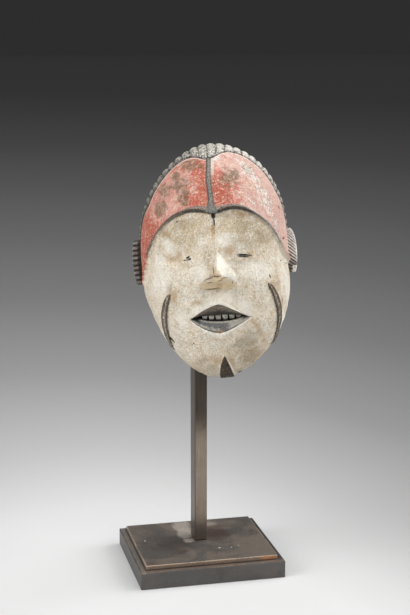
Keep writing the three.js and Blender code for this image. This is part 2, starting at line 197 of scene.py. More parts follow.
class NodeKit:
    """Builds one procedural material."""

    def __init__(self, name: str, carved: bool = True) -> None:
        """Starts an empty material.

        Args:
            name: the material's name.
            carved: reads the stored place in the mask's frame, in millimetres, and not the object's, in metres.
        """
        self.material = bpy.data.materials.new(name)
        self.material.use_nodes = True
        self.tree = self.material.node_tree
        self.tree.nodes.clear()
        if carved:
            self.place = self.node("ShaderNodeAttribute", {"attribute_name": "place"}).outputs["Vector"]
        else:
            self.place = self.node("ShaderNodeTexCoord").outputs["Object"]

    def node(self, kind: str, settings: dict | None = None, sockets: dict | None = None) -> bpy.types.Node:
        """Makes a node of any type.

        Args:
            kind: the node's type.
            settings: its own settings, which are set first; "stops" are a ramp's places and colours.
            sockets: values or links of its inputs, by name or number.

        Returns:
            The node.
        """
        made = self.tree.nodes.new(kind)
        for name, value in (settings or {}).items():
            if name == "stops":
                self._stops(made.color_ramp, value)
            else:
                setattr(made, name, value)
        for key, value in (sockets or {}).items():
            self.feed(made.inputs[key], value)
        return made

    def _stops(self, ramp: bpy.types.ColorRamp, stops: Sequence[tuple[float, Colour]]) -> None:
        """Sets up a ramp.

        Args:
            ramp: a new ramp, which has two stops.
            stops: the places and colours that it gets.
        """
        while len(ramp.elements) < len(stops):
            ramp.elements.new(1.0)
        for element, (place, colour) in zip(ramp.elements, stops):
            element.position = place
            element.color = colour

    def feed(self, socket: Socket, value: object) -> None:
        """Links a signal or another socket to an input, or sets a plain value on it.

        Args:
            socket: the input.
            value: the signal, socket or value.
        """
        value = value.socket if isinstance(value, Signal) else value
        if isinstance(value, Socket):
            self.tree.links.new(value, socket)
        else:
            socket.default_value = value

    def attribute(self, name: str) -> Signal:
        """Reads a number stored on the mesh."""
        made = self.node("ShaderNodeAttribute", {"attribute_name": name})
        return Signal(self, made.outputs["Fac"])

    def along(self, axis: int) -> Signal:
        """One of the place's three numbers."""
        return Signal(self, self.node("ShaderNodeSeparateXYZ", None, {0: self.place}).outputs[axis])

    def oval(self, centre: Triple, size: Triple) -> Signal:
        """The distance from a place, 1 on an oval around it.

        Args:
            centre: the oval's middle.
            size: its half sizes.

        Returns:
            The distance.
        """
        sockets = {"Vector": self.place, "Location": centre, "Scale": size}
        settled = self.node("ShaderNodeMapping", {"vector_type": "TEXTURE"}, sockets).outputs[0]
        return Signal(self, self.node("ShaderNodeVectorMath", {"operation": "LENGTH"}, {0: settled}).outputs[1])

    def cloud(
        self, scale: float, detail: float = 4, rough: float = 0.55, twist: float = 0, upright: float = 1.0
    ) -> Signal:
        """A noise pattern between 0 and 1.

        Args:
            scale: repeats in one unit of the place.
            detail: how many finer layers it has.
            rough: how strong the finer layers are.
            twist: how far it is swirled.
            upright: its repeats upwards for each one sideways, so that less than 1 draws streaks.

        Returns:
            The pattern.
        """
        place = self.place
        if upright != 1.0:
            place = self.node("ShaderNodeMapping", None, {"Vector": place, "Scale": (1.0, 1.0, upright)}).outputs[0]
        sockets = {"Vector": place, "Scale": scale, "Detail": detail, "Roughness": rough, "Distortion": twist}
        return Signal(self, self.node("ShaderNodeTexNoise", None, sockets).outputs[0])

    def specks(self, scale: float) -> Signal:
        """The distance to scattered points."""
        made = self.node("ShaderNodeTexVoronoi", None, {"Vector": self.place, "Scale": scale})
        return Signal(self, made.outputs["Distance"])

    def veins(self, scale: float, width: float, detail: float = 2, twist: float = 1.5) -> Signal:
        """Fine wandering lines, 1 on each line and 0 between them."""
        return abs(self.cloud(scale, detail, 0.5, twist) - 0.5).rise(width, 0.0)

    def mix(self, amount: object, under: object, over: object) -> Socket:
        """Lays one colour over another by an amount from 0 to 1."""
        settings = {"data_type": "RGBA", "blend_type": "MIX", "clamp_factor": True}
        return self.node("ShaderNodeMix", settings, {0: amount, 6: under, 7: over}).outputs[2]

    def coats(self, colour: object, *coats: tuple[object, object]) -> Socket:
        """Lays coats of paint over a colour, one after the other.

        Args:
            colour: what lies beneath them all.
            coats: how much there is of each, from 0 to 1, and its own colour.

        Returns:
            The colour on top.
        """
        for amount, over in coats:
            colour = self.mix(amount, colour, over)
        return colour

    def bump(self, height: Signal, depth: float) -> Socket:
        """Turns a height pattern into a surface normal."""
        return self.node("ShaderNodeBump", None, {"Height": height, "Distance": depth, "Strength": 1.0}).outputs[0]

    def finish(self, colour: object, sockets: dict) -> Material:
        """Closes the material with a Principled shader.

        Args:
            colour: its base colour.
            sockets: its other inputs, by name.

        Returns:
            The material.
        """
        shader = self.node("ShaderNodeBsdfPrincipled", None, {"Base Color": colour} | sockets)
        self.node("ShaderNodeOutputMaterial", None, {0: shader.outputs[0]})
        return self.material


class Side(Enum):
    """The two sides of the mask as seen from the front."""

    LEFT = -1
    RIGHT = 1


@dataclass(frozen=True)
class Corner:
    """How square one quarter of the outline is, across and upwards."""

    across: float
    upward: float


@dataclass
class MaskForm:
    """The smooth hollow form under the carving, and where the mask hangs. Millimetres and degrees."""

    half_width: float = 77.2
    crown: float = 136.8
    chin: float = 108.9
    dome: float = 84.0
    skirt_chin: float = 16.0
    skirt_crown: float = 50.0
    skirt_taper: float = 0.07
    wall: float = 11.0
    upper: tuple[Corner, Corner] = (Corner(1.49, 2.92), Corner(1.9, 3.46))
    lower: tuple[Corner, Corner] = (Corner(2.14, 1.4), Corner(1.64, 2.14))
    outline_step: float = 0.5
    eased_steps: int = 40
    eased_over: float = 5.5
    halvings: int = 40
    hang: Triple = (14.2, -15.0, 329.1)
    yaw: float = -12.0
    lean: float = 6.0
    roll: float = 4.6

    def __post_init__(self) -> None:
        """Works the outline out once, with the corners between its quarters eased."""
        steps = self.eased_steps
        self._angles = np.radians(np.arange(-180, 180, self.outline_step))
        radii = self._square_outline(self._angles)
        weights = hump(np.arange(-steps, steps + 1) * self.outline_step, self.eased_over)
        padded = np.concatenate([radii[-steps:], radii, radii[:steps]])
        self._radii = np.convolve(padded, weights / weights.sum(), "valid")
        turns = ((self.yaw, "Z"), (-self.lean, "X"), (-self.roll, "Y"))
        yaw, lean, roll = (Matrix.Rotation(math.radians(angle), 3, axis) for angle, axis in turns)
        self._turn = np.array(yaw @ lean @ roll)

    def _square_outline(self, angle: Array) -> Array:
        """Finds the outline by halving, from its four corner powers.

        Args:
            angle: directions from the middle, seen from the front.

        Returns:
            The distance to the outline in each direction.
        """
        right = np.cos(angle) > 0
        above = np.sin(angle) >= 0
        across = np.abs(np.cos(angle)) / self.half_width
        upward = np.abs(np.sin(angle)) / np.where(above, self.crown, self.chin)
        corners = [self.upper[1], self.upper[0], self.lower[1], self.lower[0]]
        cases = [above & right, above & ~right, ~above & right, ~above & ~right]
        power_across = np.select(cases, [c.across for c in corners])
        power_upward = np.select(cases, [c.upward for c in corners])
        low = np.zeros_like(angle)
        high = np.full_like(angle, 2 * self.crown)
        for _ in range(self.halvings):
            radius = (low + high) / 2
            inside = (radius * across) ** power_across + (radius * upward) ** power_upward < 1
            low = np.where(inside, radius, low)
            high = np.where(inside, high, radius)
        return low

    def outline(self, angle: Array) -> Array:
        """The distance from the middle to the outline in the direction of an angle."""
        return np.interp(angle, self._angles, self._radii, period=2 * math.pi)

    def skirt(self, z: Array) -> Array:
        """The depth of the straight side behind the outline."""
        share = np.clip((z + self.chin) / (self.crown + self.chin), 0, 1)
        return self.skirt_chin + (self.skirt_crown - self.skirt_chin) * share

    def surface(self, angle: Array, share: Array, lift: Array, wall: Array | float = 0.0) -> Array:
        """Places points on the form.

        Args:
            angle: direction from the middle, seen from the front.
            share: 0 at the middle, 1 on the outline, 2 on the rim.
            lift: height above the smooth form.
            wall: how far inside the outer skin the form is taken.

        Returns:
            The points in the mask's frame, in millimetres.
        """
        radius = self.outline(angle) - wall
        dome = self.dome - wall
        tilt = np.minimum(share, 1) * math.pi / 2
        back = np.maximum(share - 1, 0)
        outward = np.where(share < 1, np.sin(tilt) / radius, 1.0)
        forward = np.where(share < 1, np.cos(tilt) / dome, 0.0)
        unit = lift / np.hypot(outward, forward)
        flat = radius * np.sin(tilt) * (1 - self.skirt_taper * back**2) + outward * unit
        depth = self.skirt(radius * np.sin(angle)) * (1 - back) + dome * np.cos(tilt) + forward * unit
        return np.stack([flat * np.cos(angle), -depth, flat * np.sin(angle)], -1)

    def seen(self, angle: Array, share: Array) -> tuple[Array, Array]:
        """Where points of the form lie when seen from the front: x and z."""
        flat = self.outline(angle) * np.sin(np.minimum(share, 1) * math.pi / 2)
        return flat * np.cos(angle), flat * np.sin(angle)

    def shares(self, x: Array, z: Array) -> tuple[Array, Array]:
        """Turns places seen from the front into places on the form.

        Args:
            x: places across.
            z: places up.

        Returns:
            Their angle and their share.
        """
        angle = np.arctan2(z, x)
        reach = np.clip(np.hypot(x, z) / self.outline(angle), 0, 0.999)
        return angle, np.arcsin(reach) * 2 / math.pi

    def hung(self, points: Array) -> Array:
        """Turns points of the mask's frame to the stand's frame, in metres."""
        return (points @ self._turn.T + np.array(self.hang)) * MM


@dataclass(frozen=True)
class Patch:
    """An oval mark on the face or forehead, as seen from the front. Millimetres and degrees."""

    x: float
    z: float
    wide: float
    tall: float
    turn: float = 0.0

    def cover(self, x: Array, z: Array) -> Array:
        """Measures how well the mark covers each place.

        Args:
            x: places across.
            z: places up.

        Returns:
            1 at the mark's middle, 0 on its edge and less outside.
        """
        turn = math.radians(self.turn)
        along = (x - self.x) * math.cos(turn) + (z - self.z) * math.sin(turn)
        across = (z - self.z) * math.cos(turn) - (x - self.x) * math.sin(turn)
        return 1 - np.hypot(along / self.wide, across / self.tall)


@dataclass(frozen=True)
class Scar:
    """A raised crescent on one cheek."""

    side: Side
    x: float
    z: float
    half: float
    bulge: float
    width: float = 6.8
    lift: float = 1.5

    def across(self, x: Array, z: Array) -> tuple[Array, Array]:
        """Finds where places lie on the band.

        Args:
            x: places across.
            z: places up.

        Returns:
            How far across the band and how far along it, each from -1 to 1.
        """
        along = (z - self.z) / self.half
        middle = self.side.value * (self.x - self.bulge * along**2)
        ends = np.sqrt(np.clip(1 - np.abs(along) ** 7, 0.002, 1))
        taper = 1 - 0.64 * np.clip((0.2 - along) / 1.2, 0, 1)
        wide = self.width / 2 * ends * taper + 0.1
        return np.where(np.abs(along) > 1, 3.0, (x - middle) / wide), along


@dataclass
class Carving:
    """The relief of the face and forehead, and the marks that the paint follows. Millimetres.

    Unless a method says otherwise, x and z are places seen from the front.
    """

    form: MaskForm
    face_sink: float = 3.4
    brow_centre: float = 20.0
    brow_span: float = 53.9
    brow_height: float = 72.0
    brow_dip: float = 4.0
    brow_tail: float = 71.0
    brow_reach: float = 86.0
    brow_samples: int = 260
    side_share: float = 0.8208
    side_sine: float = 0.12
    tail_slopes: tuple[float, float] = (4.2, 1.8)
    right_drop: float = 2.0
    hair_start: float = 0.71
    hair_peak: float = 0.145
    hair_fall: float = 0.37
    hair_end: float = 1.3
    band_thin: float = 1.1
    band_broad: float = 4.5
    band_lift: float = 1.6
    ridge_line: tuple[tuple[float, ...], tuple[float, ...]] = ((60, 69, 85, 101, 126), (-0.8, -1.8, -1.2, -1.8, 1.2))
    ridge_width: float = 5.0
    ridge_lift: float = 1.8
    eye_x: float = 28.0
    eye_z: float = 24.5
    eye_sink: float = 4.2
    eye_hollow: tuple[float, float] = (24.0, 19.0)
    lid: Triple = (15.0, 6.5, 1.5)
    frown: float = 1.5
    fold: float = 0.9
    nose_ridge: tuple[float, float] = (0.8, -1.6)
    nose_bridge: float = 31.0
    nose_tip: float = 8.5
    nose_drop: float = 9.5
    nose_under: float = -7.2
    nose_lift: float = 14.2
    nose_root: float = 1.6
    nose_left: float = 16.0
    nose_right: float = 18.5
    mouth_x: float = -0.6
    mouth_z: float = -37.2
    mouth_half: float = 29.8
    mouth_tilt: float = -0.035
    lip_top: float = 14.3
    lip_bottom: float = 15.2
    lip_bows: Triple = (1.16, 1.6, 1.74)
    lip_pillow: float = 1.1
    muzzle: float = 6.0
    gap_half: float = 25.5
    gap_top: float = 2.9
    gap_bottom: float = 4.4
    gap_depth: float = 11.5
    lip_edge: float = 1.0
    lip_depth: float = 5.2
    wedge_top: float = -78.6
    wedge_bottom: float = -106.0
    wedge_lift: float = 1.6
    facets: tuple[tuple[float, float, int], ...] = ((0.2, 17, 3), (0.14, 7.5, 4), (0.05, 3.6, 6))
    face_facets: float = 1.4
    field_facets: float = 0.7
    scars: tuple[Scar, ...] = (Scar(Side.LEFT, 56.5, -41.5, 32, 7.2), Scar(Side.RIGHT, 60.0, -42, 35.5, 9.3))

    def brow_line(self, x: Array) -> Array:
        """Draws the brow arch, which turns out to the ear at each end.

        Args:
            x: places across.

        Returns:
            The height of the arch at each place.
        """
        side = np.abs(x)
        inner = self.brow_height - self.brow_dip * np.clip(1 - side / self.brow_centre, 0, 1) ** 1.5
        t = np.clip((side - self.brow_centre) / self.brow_span, 0, 0.999)
        outer = self.brow_height * np.sqrt(1 - t * t)
        t_tail = (self.brow_tail - self.brow_centre) / self.brow_span
        slope = np.where(x < 0, *self.tail_slopes)
        tail = self.brow_height * math.sqrt(1 - t_tail**2) - slope * (side - self.brow_tail)
        arch = np.where(side < self.brow_centre, inner, outer)
        return np.where(side > self.brow_tail, tail, arch) - self.right_drop * smooth(15, 50, x)

    def above_brow(self, x: Array, z: Array) -> Array:
        """Measures how far places lie from the brow line.

        Args:
            x: places across.
            z: places up.

        Returns:
            The distance above the line, negative on the face.
        """
        line_x = np.linspace(-self.brow_reach, self.brow_reach, self.brow_samples)
        nearest = np.full(x.shape, np.inf)
        for px, pz in zip(line_x, self.brow_line(line_x)):
            nearest = np.minimum(nearest, (x - px) ** 2 + (z - pz) ** 2)
        return np.where(z > self.brow_line(x), 1, -1) * np.sqrt(nearest)

    def brow_share(self, angle: Array) -> Array:
        """Finds where the brow line runs on the form.

        Args:
            angle: directions from the middle.

        Returns:
            The share at which the line lies in each direction.
        """
        low = np.zeros_like(angle)
        high = np.ones_like(angle)
        for _ in range(30):
            share = (low + high) / 2
            x, z = self.form.seen(angle, share)
            under = z < self.brow_line(x)
            low = np.where(under, share, low)
            high = np.where(under, high, share)
        return np.where(np.sin(angle) > self.side_sine, np.minimum(low, 0.9), self.side_share)

    def band_width(self, x: Array) -> Array:
        """The width of the brow band, broadest over the nose."""
        return self.band_thin + self.band_broad * hump(x + 4, np.where(x < -4, 27, 38))

    def hair_share(self, angle: Array) -> Array:
        """Finds where the hair starts, with a peak in the middle and a fall at the sides.

        Args:
            angle: directions from the middle.

        Returns:
            The share of the hairline in each direction.
        """
        side = np.arctan2(np.abs(np.cos(angle)), np.sin(angle))
        rise = self.hair_peak * (1 - hump(side, math.pi / 24))
        fall = self.hair_fall * (np.maximum(0, side - 0.21 * math.pi) / (math.pi / 7)) ** 1.3
        return np.minimum(self.hair_end, self.hair_start + rise + fall)

    def ridge_offset(self, x: Array, z: Array) -> Array:
        """The distance from the ridge's middle line, which wanders as a hand-cut line does."""
        return x - np.interp(z, *self.ridge_line)

    def mouth_line(self, x: Array) -> Array:
        """The height of the line where the lips would meet, which tilts a little."""
        return self.mouth_z + self.mouth_tilt * (x - self.mouth_x)

    def lip_places(self, x: Array, z: Array) -> Array:
        """Finds where places lie between the lips' outer edge and the gap.

        Args:
            x: places across.
            z: places up.

        Returns:
            0 on the outer edge of the lips, 1 where they meet the gap and 2 inside it; negative outside.
        """
        u = np.clip((x - self.mouth_x) / self.mouth_half, -1, 1)
        v = np.clip((x - self.mouth_x) / self.gap_half, -1, 1)
        level = self.mouth_line(x)
        up = z > level
        right, above, below = self.lip_bows
        bow = np.where(u > 0, right, np.where(up, above, below))
        outer = np.where(up, self.lip_top, self.lip_bottom) * (1 - np.hypot(u, 0.075) ** bow)
        inner = np.where(up, self.gap_top * (1 - v * v) ** 0.8, self.gap_bottom * (1 - v * v) ** 0.7)
        away = np.abs(z - level)
        slope = (outer - away) / np.maximum(outer - inner, 0.6)
        past = 1 + (inner - away) / 1.2
        return np.clip(np.where(away < inner, past, slope), -3, 2)

    def nose(self, x: Array, z: Array) -> Array:
        """Raises the nose, a wedge that widens down to its tip and slants back underneath.

        Args:
            x: places across.
            z: places up.

        Returns:
            Its height at each place.
        """
        t, side, half, edge = self.nose_places(x, z)
        under = np.clip((edge - z) / (edge - self.nose_under), 0, 1)
        u = np.clip(np.abs(side) / half, 0, 1)
        flank = 1 - u ** (np.where(side > 0, 1.0, 1.35) + 0.6 * under)
        return self.nose_lift * np.clip(t, 0, 1) ** 1.1 * (1 - under**1.2) * flank

    def nose_places(self, x: Array, z: Array) -> tuple[Array, Array, Array, Array]:
        """Finds where places lie on the nose.

        Args:
            x: places across.
            z: places up.

        Returns:
            How far down the nose they are, how far beside its ridge, the flank's width and the tip's edge.
        """
        t = np.clip((self.nose_bridge - z) / (self.nose_bridge - self.nose_tip), 0, 1.4)
        side = x - (self.nose_ridge[0] + (self.nose_ridge[1] - self.nose_ridge[0]) * t)
        left = self.nose_root + self.nose_left * np.minimum(t, 1.1) ** 1.5
        right = self.nose_root + self.nose_right * np.minimum(t, 1.15)
        edge = self.nose_tip - self.nose_drop * np.clip(np.abs(side) / 19, 0, 1) ** 1.3
        return t, side, np.where(side > 0, right, left), edge

    def bright_flank(self, x: Array, z: Array) -> Array:
        """Outlines the nose's right flank, which gets a painted highlight.

        Args:
            x: places across.
            z: places up.

        Returns:
            The distance inside it, negative outside.
        """
        t, side, half, edge = self.nose_places(x, z)
        past_tip = side - 0.6 * np.maximum(0, 15.5 - z)
        return np.minimum.reduce([side + 0.3, half - 1.8 * t - side, past_tip + 0.4, z - edge, t * 22])

    def face_relief(self, x: Array, z: Array) -> Array:
        """Shapes the face below the brows, without the nose and the mouth's cut.

        Args:
            x: places across.
            z: places up.

        Returns:
            The lift at each place.
        """
        hollow = hump(np.abs(x) - self.eye_x, self.eye_hollow[0]) * hump(z - self.eye_z, self.eye_hollow[1])
        lid = np.clip(1 - ((np.abs(x) - self.eye_x) / self.lid[0]) ** 2 - ((z - self.eye_z) / self.lid[1]) ** 2, 0, 1)
        muzzle = self.muzzle * hump(x, self.mouth_half * 1.25) * hump(z - self.mouth_z, self.lip_top * 1.5)
        sink = self.face_sink * np.clip((z + 5) / 30, 0, 1)
        frown = self.frown * hump(x - 0.3, 1.7) * smooth(42, 60, z)
        folds = self.fold * hump(z - 58 - 0.45 * np.abs(x), 3.5) * hump(np.abs(x) - 12, 10)
        return muzzle + self.lid[2] * np.sqrt(lid) - self.eye_sink * hollow - sink - frown + folds

    def scar_marks(self, x: Array, z: Array) -> tuple[Array, Array]:
        """Shapes the scars.

        Args:
            x: places across.
            z: places up.

        Returns:
            How far places are from the nearest scar's middle line, 1 on its edge, and the scar's lift.
        """
        across = np.full(x.shape, 3.0)
        lift = np.zeros_like(x)
        for scar in self.scars:
            over, along = scar.across(x, z)
            across = np.minimum(np.abs(over), across)
            body = smooth(1.15, 0.75, np.abs(over)) * (1 - 0.5 * hump(over - 0.1, 0.2))
            lift = np.maximum(lift, scar.lift * body * smooth(1.02, 0.8, np.abs(along)))
        return across, lift

    def wedge_mark(self, x: Array, z: Array) -> Array:
        """Outlines the chin wedge.

        Args:
            x: places across.
            z: places up.

        Returns:
            The distance inside it, negative outside.
        """
        t = (z - self.wedge_top) / (self.wedge_bottom - self.wedge_top)
        left = x - (0.3 - 4.7 * t - 8.4 * np.clip(t * (1 - t), 0, 1))
        right = (1.6 + 9.4 * t) - x
        return np.minimum.reduce([left, right, t * 27, (1.02 - t) * 27])

    def relief(self, x: Array, z: Array) -> Array:
        """Adds all carving together.

        Args:
            x: places across.
            z: places up.

        Returns:
            The whole lift above the smooth form.
        """
        brow = self.above_brow(x, z)
        width = self.band_width(x)
        facets = hewn(x, z, self.facets)
        _, scar_lift = self.scar_marks(x, z)
        wedge = self.wedge_lift * smooth(-0.6, 0.5, self.wedge_mark(x, z))
        face = np.maximum(self.face_relief(x, z), -8) + self.nose(x, z) + scar_lift + wedge + self.face_facets * facets
        lips = self.lip_places(x, z)
        slope = self.lip_edge * smooth(-0.12, 0.03, lips) + (self.lip_depth - self.lip_edge) * np.clip(lips, 0, 1)
        gap = (self.gap_depth - self.lip_depth) * smooth(1, 2, lips)
        face = face - slope + self.lip_pillow * arc(lips) - gap
        band = self.band_lift * np.clip(1 - (np.abs(brow - width * 0.5) / (width * 0.5 + 0.6)) ** 3, 0, 1)
        half = self.ridge_width / 2 + 3.5 * smooth(82, 69, z)
        ridge = self.ridge_lift * smooth(half + 0.5, half - 0.9, np.abs(self.ridge_offset(x, z)))
        field_lift = np.maximum(band, ridge) + self.field_facets * facets
        share = smooth(-1.1, 0.2, brow)
        return face * (1 - share) + field_lift * share

    def skin(self, x: Array, z: Array) -> Array:
        """Places on the carved surface, in the mask's frame."""
        angle, share = self.form.shares(x, z)
        return self.form.surface(angle, share, self.relief(x, z))


def patches(*rows: tuple[float, ...]) -> tuple[Patch, ...]:
    """Makes marks of rows that name their middle, their half sizes and, where they are turned, the degrees."""
    return tuple(Patch(*row) for row in rows)


@dataclass(frozen=True)
class WearMarks:
    """Worn, stained and chipped paint, and painted shade and highlights, in groups by what the mark looks like."""

    worn: tuple[Patch, ...] = patches(
        (-18, 117, 12, 6.5, 10), (-29, 100, 9, 8), (-28, 89, 7.5, 14, 12), (-46, 94, 8.5, 8, 40),
        (-52, 77, 8, 10, -15), (-37, 97, 9, 5, 20), (18.5, 102.5, 12.5, 12), (39, 108, 7, 5, -20),
        (-9, 115, 4, 4), (-32, 108, 8, 4, 20),
    )
    scuff: tuple[Patch, ...] = patches(
        (45, 100, 13, 4.5, -52), (53, 84, 13, 4, -62), (48, 88, 9, 3, -60), (57, 66, 10, 3, -62),
        (35, 114, 10, 4, -35), (63, 52, 10, 3, -65), (40, 76, 7, 2.5, -40), (55, 74, 9, 7, -60),
        (8, 122, 7, 4), (40, 106, 12, 6, -40),
    )
    washed: tuple[Patch, ...] = patches(
        (54, 84, 32, 50, 15), (32, 114, 34, 20, -20), (70, 36, 18, 44), (-30, 126, 34, 8, 20),
        (-44, 80, 22, 18, 30), (8, 120, 12, 14), (-34, 100, 20, 16),
    )
    # Painted shade: under the brows, on the chin and beside the nose.
    shade: tuple[Patch, ...] = patches(
        (-26, 56, 44, 22, 20), (28, 54, 44, 26, -20), (32, -86, 26, 26, 30), (-32, -98, 40, 12, -20),
        (-8, 24, 7, 18),
    )
    # Mostly painted highlights: round the lips, on the cheeks, along the right outline and the wedge's edge; a few
    # white chips and flecks.
    bright: tuple[Patch, ...] = patches(
        (0, -19, 24, 5), (3, -14, 15, 5), (22, -25, 16, 5, -28), (-23, -26.5, 11, 4, 30),
        (23, -30.5, 10, 4, -35), (-38, -37, 7, 12, 10), (-58, 2, 10, 20, -10), (-48, 40, 8, 12, 20),
        (40, 8, 20, 12), (-20, 12, 12, 12), (10, 42, 12, 8), (-60, 20, 8, 16),
        (72, -16, 5, 30, 6), (66, -50, 4, 20, 14), (7.2, -92, 0.8, 12, 19), (-46.1, -66, 2.2, 1.0, 40),
        (-42.2, -72.5, 2.4, 1.0, -40), (-24.6, 24, 1.6, 2.6, -30),
    )
    grime: tuple[Patch, ...] = patches(
        (-30, 62, 14, 7, 15), (31, 56, 11, 9, -20), (24, 66, 22, 6, -8), (22, -66, 20, 12, 30),
        (28, -84, 18, 13, 35), (-22, -84, 9, 9), (-14, -92, 10, 8), (0, 56, 4, 14),
        (50, 42, 13, 8, -30), (-50, 50, 6, 12, 35), (-48, -4, 5, 8), (16, -100, 7, 5, 20),
    )
    ochre: tuple[Patch, ...] = patches(
        (-44, 30, 11, 8, 40), (-48, 50, 5, 12, 40), (-2.8, 13, 1.4, 10), (-2.8, 8, 7.5, 6),
        (-20, -19, 11, 3), (-3, -54, 9, 3), (61, -8, 3, 14), (64, -30, 2, 14),
        (-45, -12, 5, 12, -15), (14, 32, 8, 8), (28, 66, 14, 3, -10), (56, -12, 7, 16),
        (-8, -84, 10, 8, 20), (-2, 50, 3, 14), (38, -56, 4, 26, 25), (8, -88, 5, 12, 25),
        (36, 26, 6, 6),
    )
    # Painted shade under the nose, with dirt.
    taupe: tuple[Patch, ...] = patches((0.5, -3, 20.5, 5.6, -5), (-9, -4.5, 9, 3.6), (1, 2, 9, 4.5))
    # Dark strokes: painted shade in the creases round the nose tip and nostrils, and a brown line down the nose.
    crease: tuple[Patch, ...] = patches(
        (-9, 4.6, 5.5, 0.9, 22), (5, 4.6, 6.5, 0.7, -4), (1.4, 2.8, 3.2, 1.0), (-8, 0.6, 4, 0.6, 5),
        (-2, 7.2, 6, 0.9), (-6, -7, 10, 1.0, -2), (-4.2, 12.5, 0.8, 7), (13, -1.4, 0.5, 3),
        (17, -3, 0.5, 3, 5),
    )
    # Mostly painted shade: the eye slits, pits, a hole and notches; a few dark specks.
    dark: tuple[Patch, ...] = patches(
        (53.2, 0, 0.8, 2.8, 3), (-51.3, -59.2, 5.4, 1.2, -58), (16.6, -102.5, 3.2, 1.5, 20),
        (28.0, 24.4, 8.6, 1.15, -10), (-28.2, 26.2, 2.3, 1.3, 30), (-32.6, 25.4, 3.6, 0.7, 6),
        (-29.1, -63, 1.0, 1.0), (-37, 63.8, 1.6, 0.7, 40), (68, 13.9, 0.9, 1.1),
        (73.5, 10, 1.0, 1.2), (70.5, 35.8, 1.3, 1.5), (68, 67.9, 2.6, 0.6, -60),
        (0, 66.5, 2.4, 2.6), (0.4, 61, 0.9, 5), (3, -101, 1.1, 1.0),
    )

    def covers(self, x: Array, z: Array) -> dict[str, Array]:
        """Measures how well the marks of each group cover each place.

        Args:
            x: places across.
            z: places up.

        Returns:
            The cover by the group's name: 1 at a mark's middle, 0 on its edge and less outside.
        """
        found = {}
        for group in fields(self):
            reached = [mark.cover(x, z) for mark in getattr(self, group.name)]
            found[group.name] = np.maximum(np.max(reached, axis=0), UNCOVERED)
        return found


def from_unit(bm: bmesh.types.BMesh) -> Array:
    """The places of a bmesh's vertices, one row each."""
    return np.array([v.co[:] for v in bm.verts], float)


def solid(name: str, bm: bmesh.types.BMesh, points: Array, attributes: dict[str, Array] | None = None) -> Piece:
    """Makes an object of a bmesh whose vertices are moved to new places.

    Args:
        name: the piece's name.
        bm: the mesh, which is freed.
        points: the new places in metres, in the order of the vertices.
        attributes: numbers or places to keep on the vertices for the paint.

    Returns:
        The object, smooth shaded, with its faces turned to agree with one another.
    """
    for vertex, point in zip(bm.verts, points.tolist()):
        vertex.co = point
    # The side is taken from the normals before the move, so the shell, the braids and the left ear face inwards.
    bmesh.ops.recalc_face_normals(bm, faces=bm.faces)
    for face in bm.faces:
        face.smooth = True
    mesh = bpy.data.meshes.new(name)
    bm.to_mesh(mesh)
    bm.free()
    for key, values in (attributes or {}).items():
        wide = values.ndim == 2
        layer = mesh.attributes.new(key, "FLOAT_VECTOR" if wide else "FLOAT", "POINT")
        layer.data.foreach_set("vector" if wide else "value", values.astype(np.float32).ravel())
    made = bpy.data.objects.new(name, mesh)
    bpy.context.scene.collection.objects.link(made)
    return made


def own(piece: Piece, node: str, material: Material) -> Piece:
    """Gives a piece its place in the part.

    Args:
        piece: the finished piece.
        node: the node that it stands for.
        material: its finish.

    Returns:
        The same piece.
    """
    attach(piece, BODY)
    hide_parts(node)
    piece.data.materials.append(material)
    log.info("%s: %d faces", piece.name, len(piece.data.polygons))
    return piece


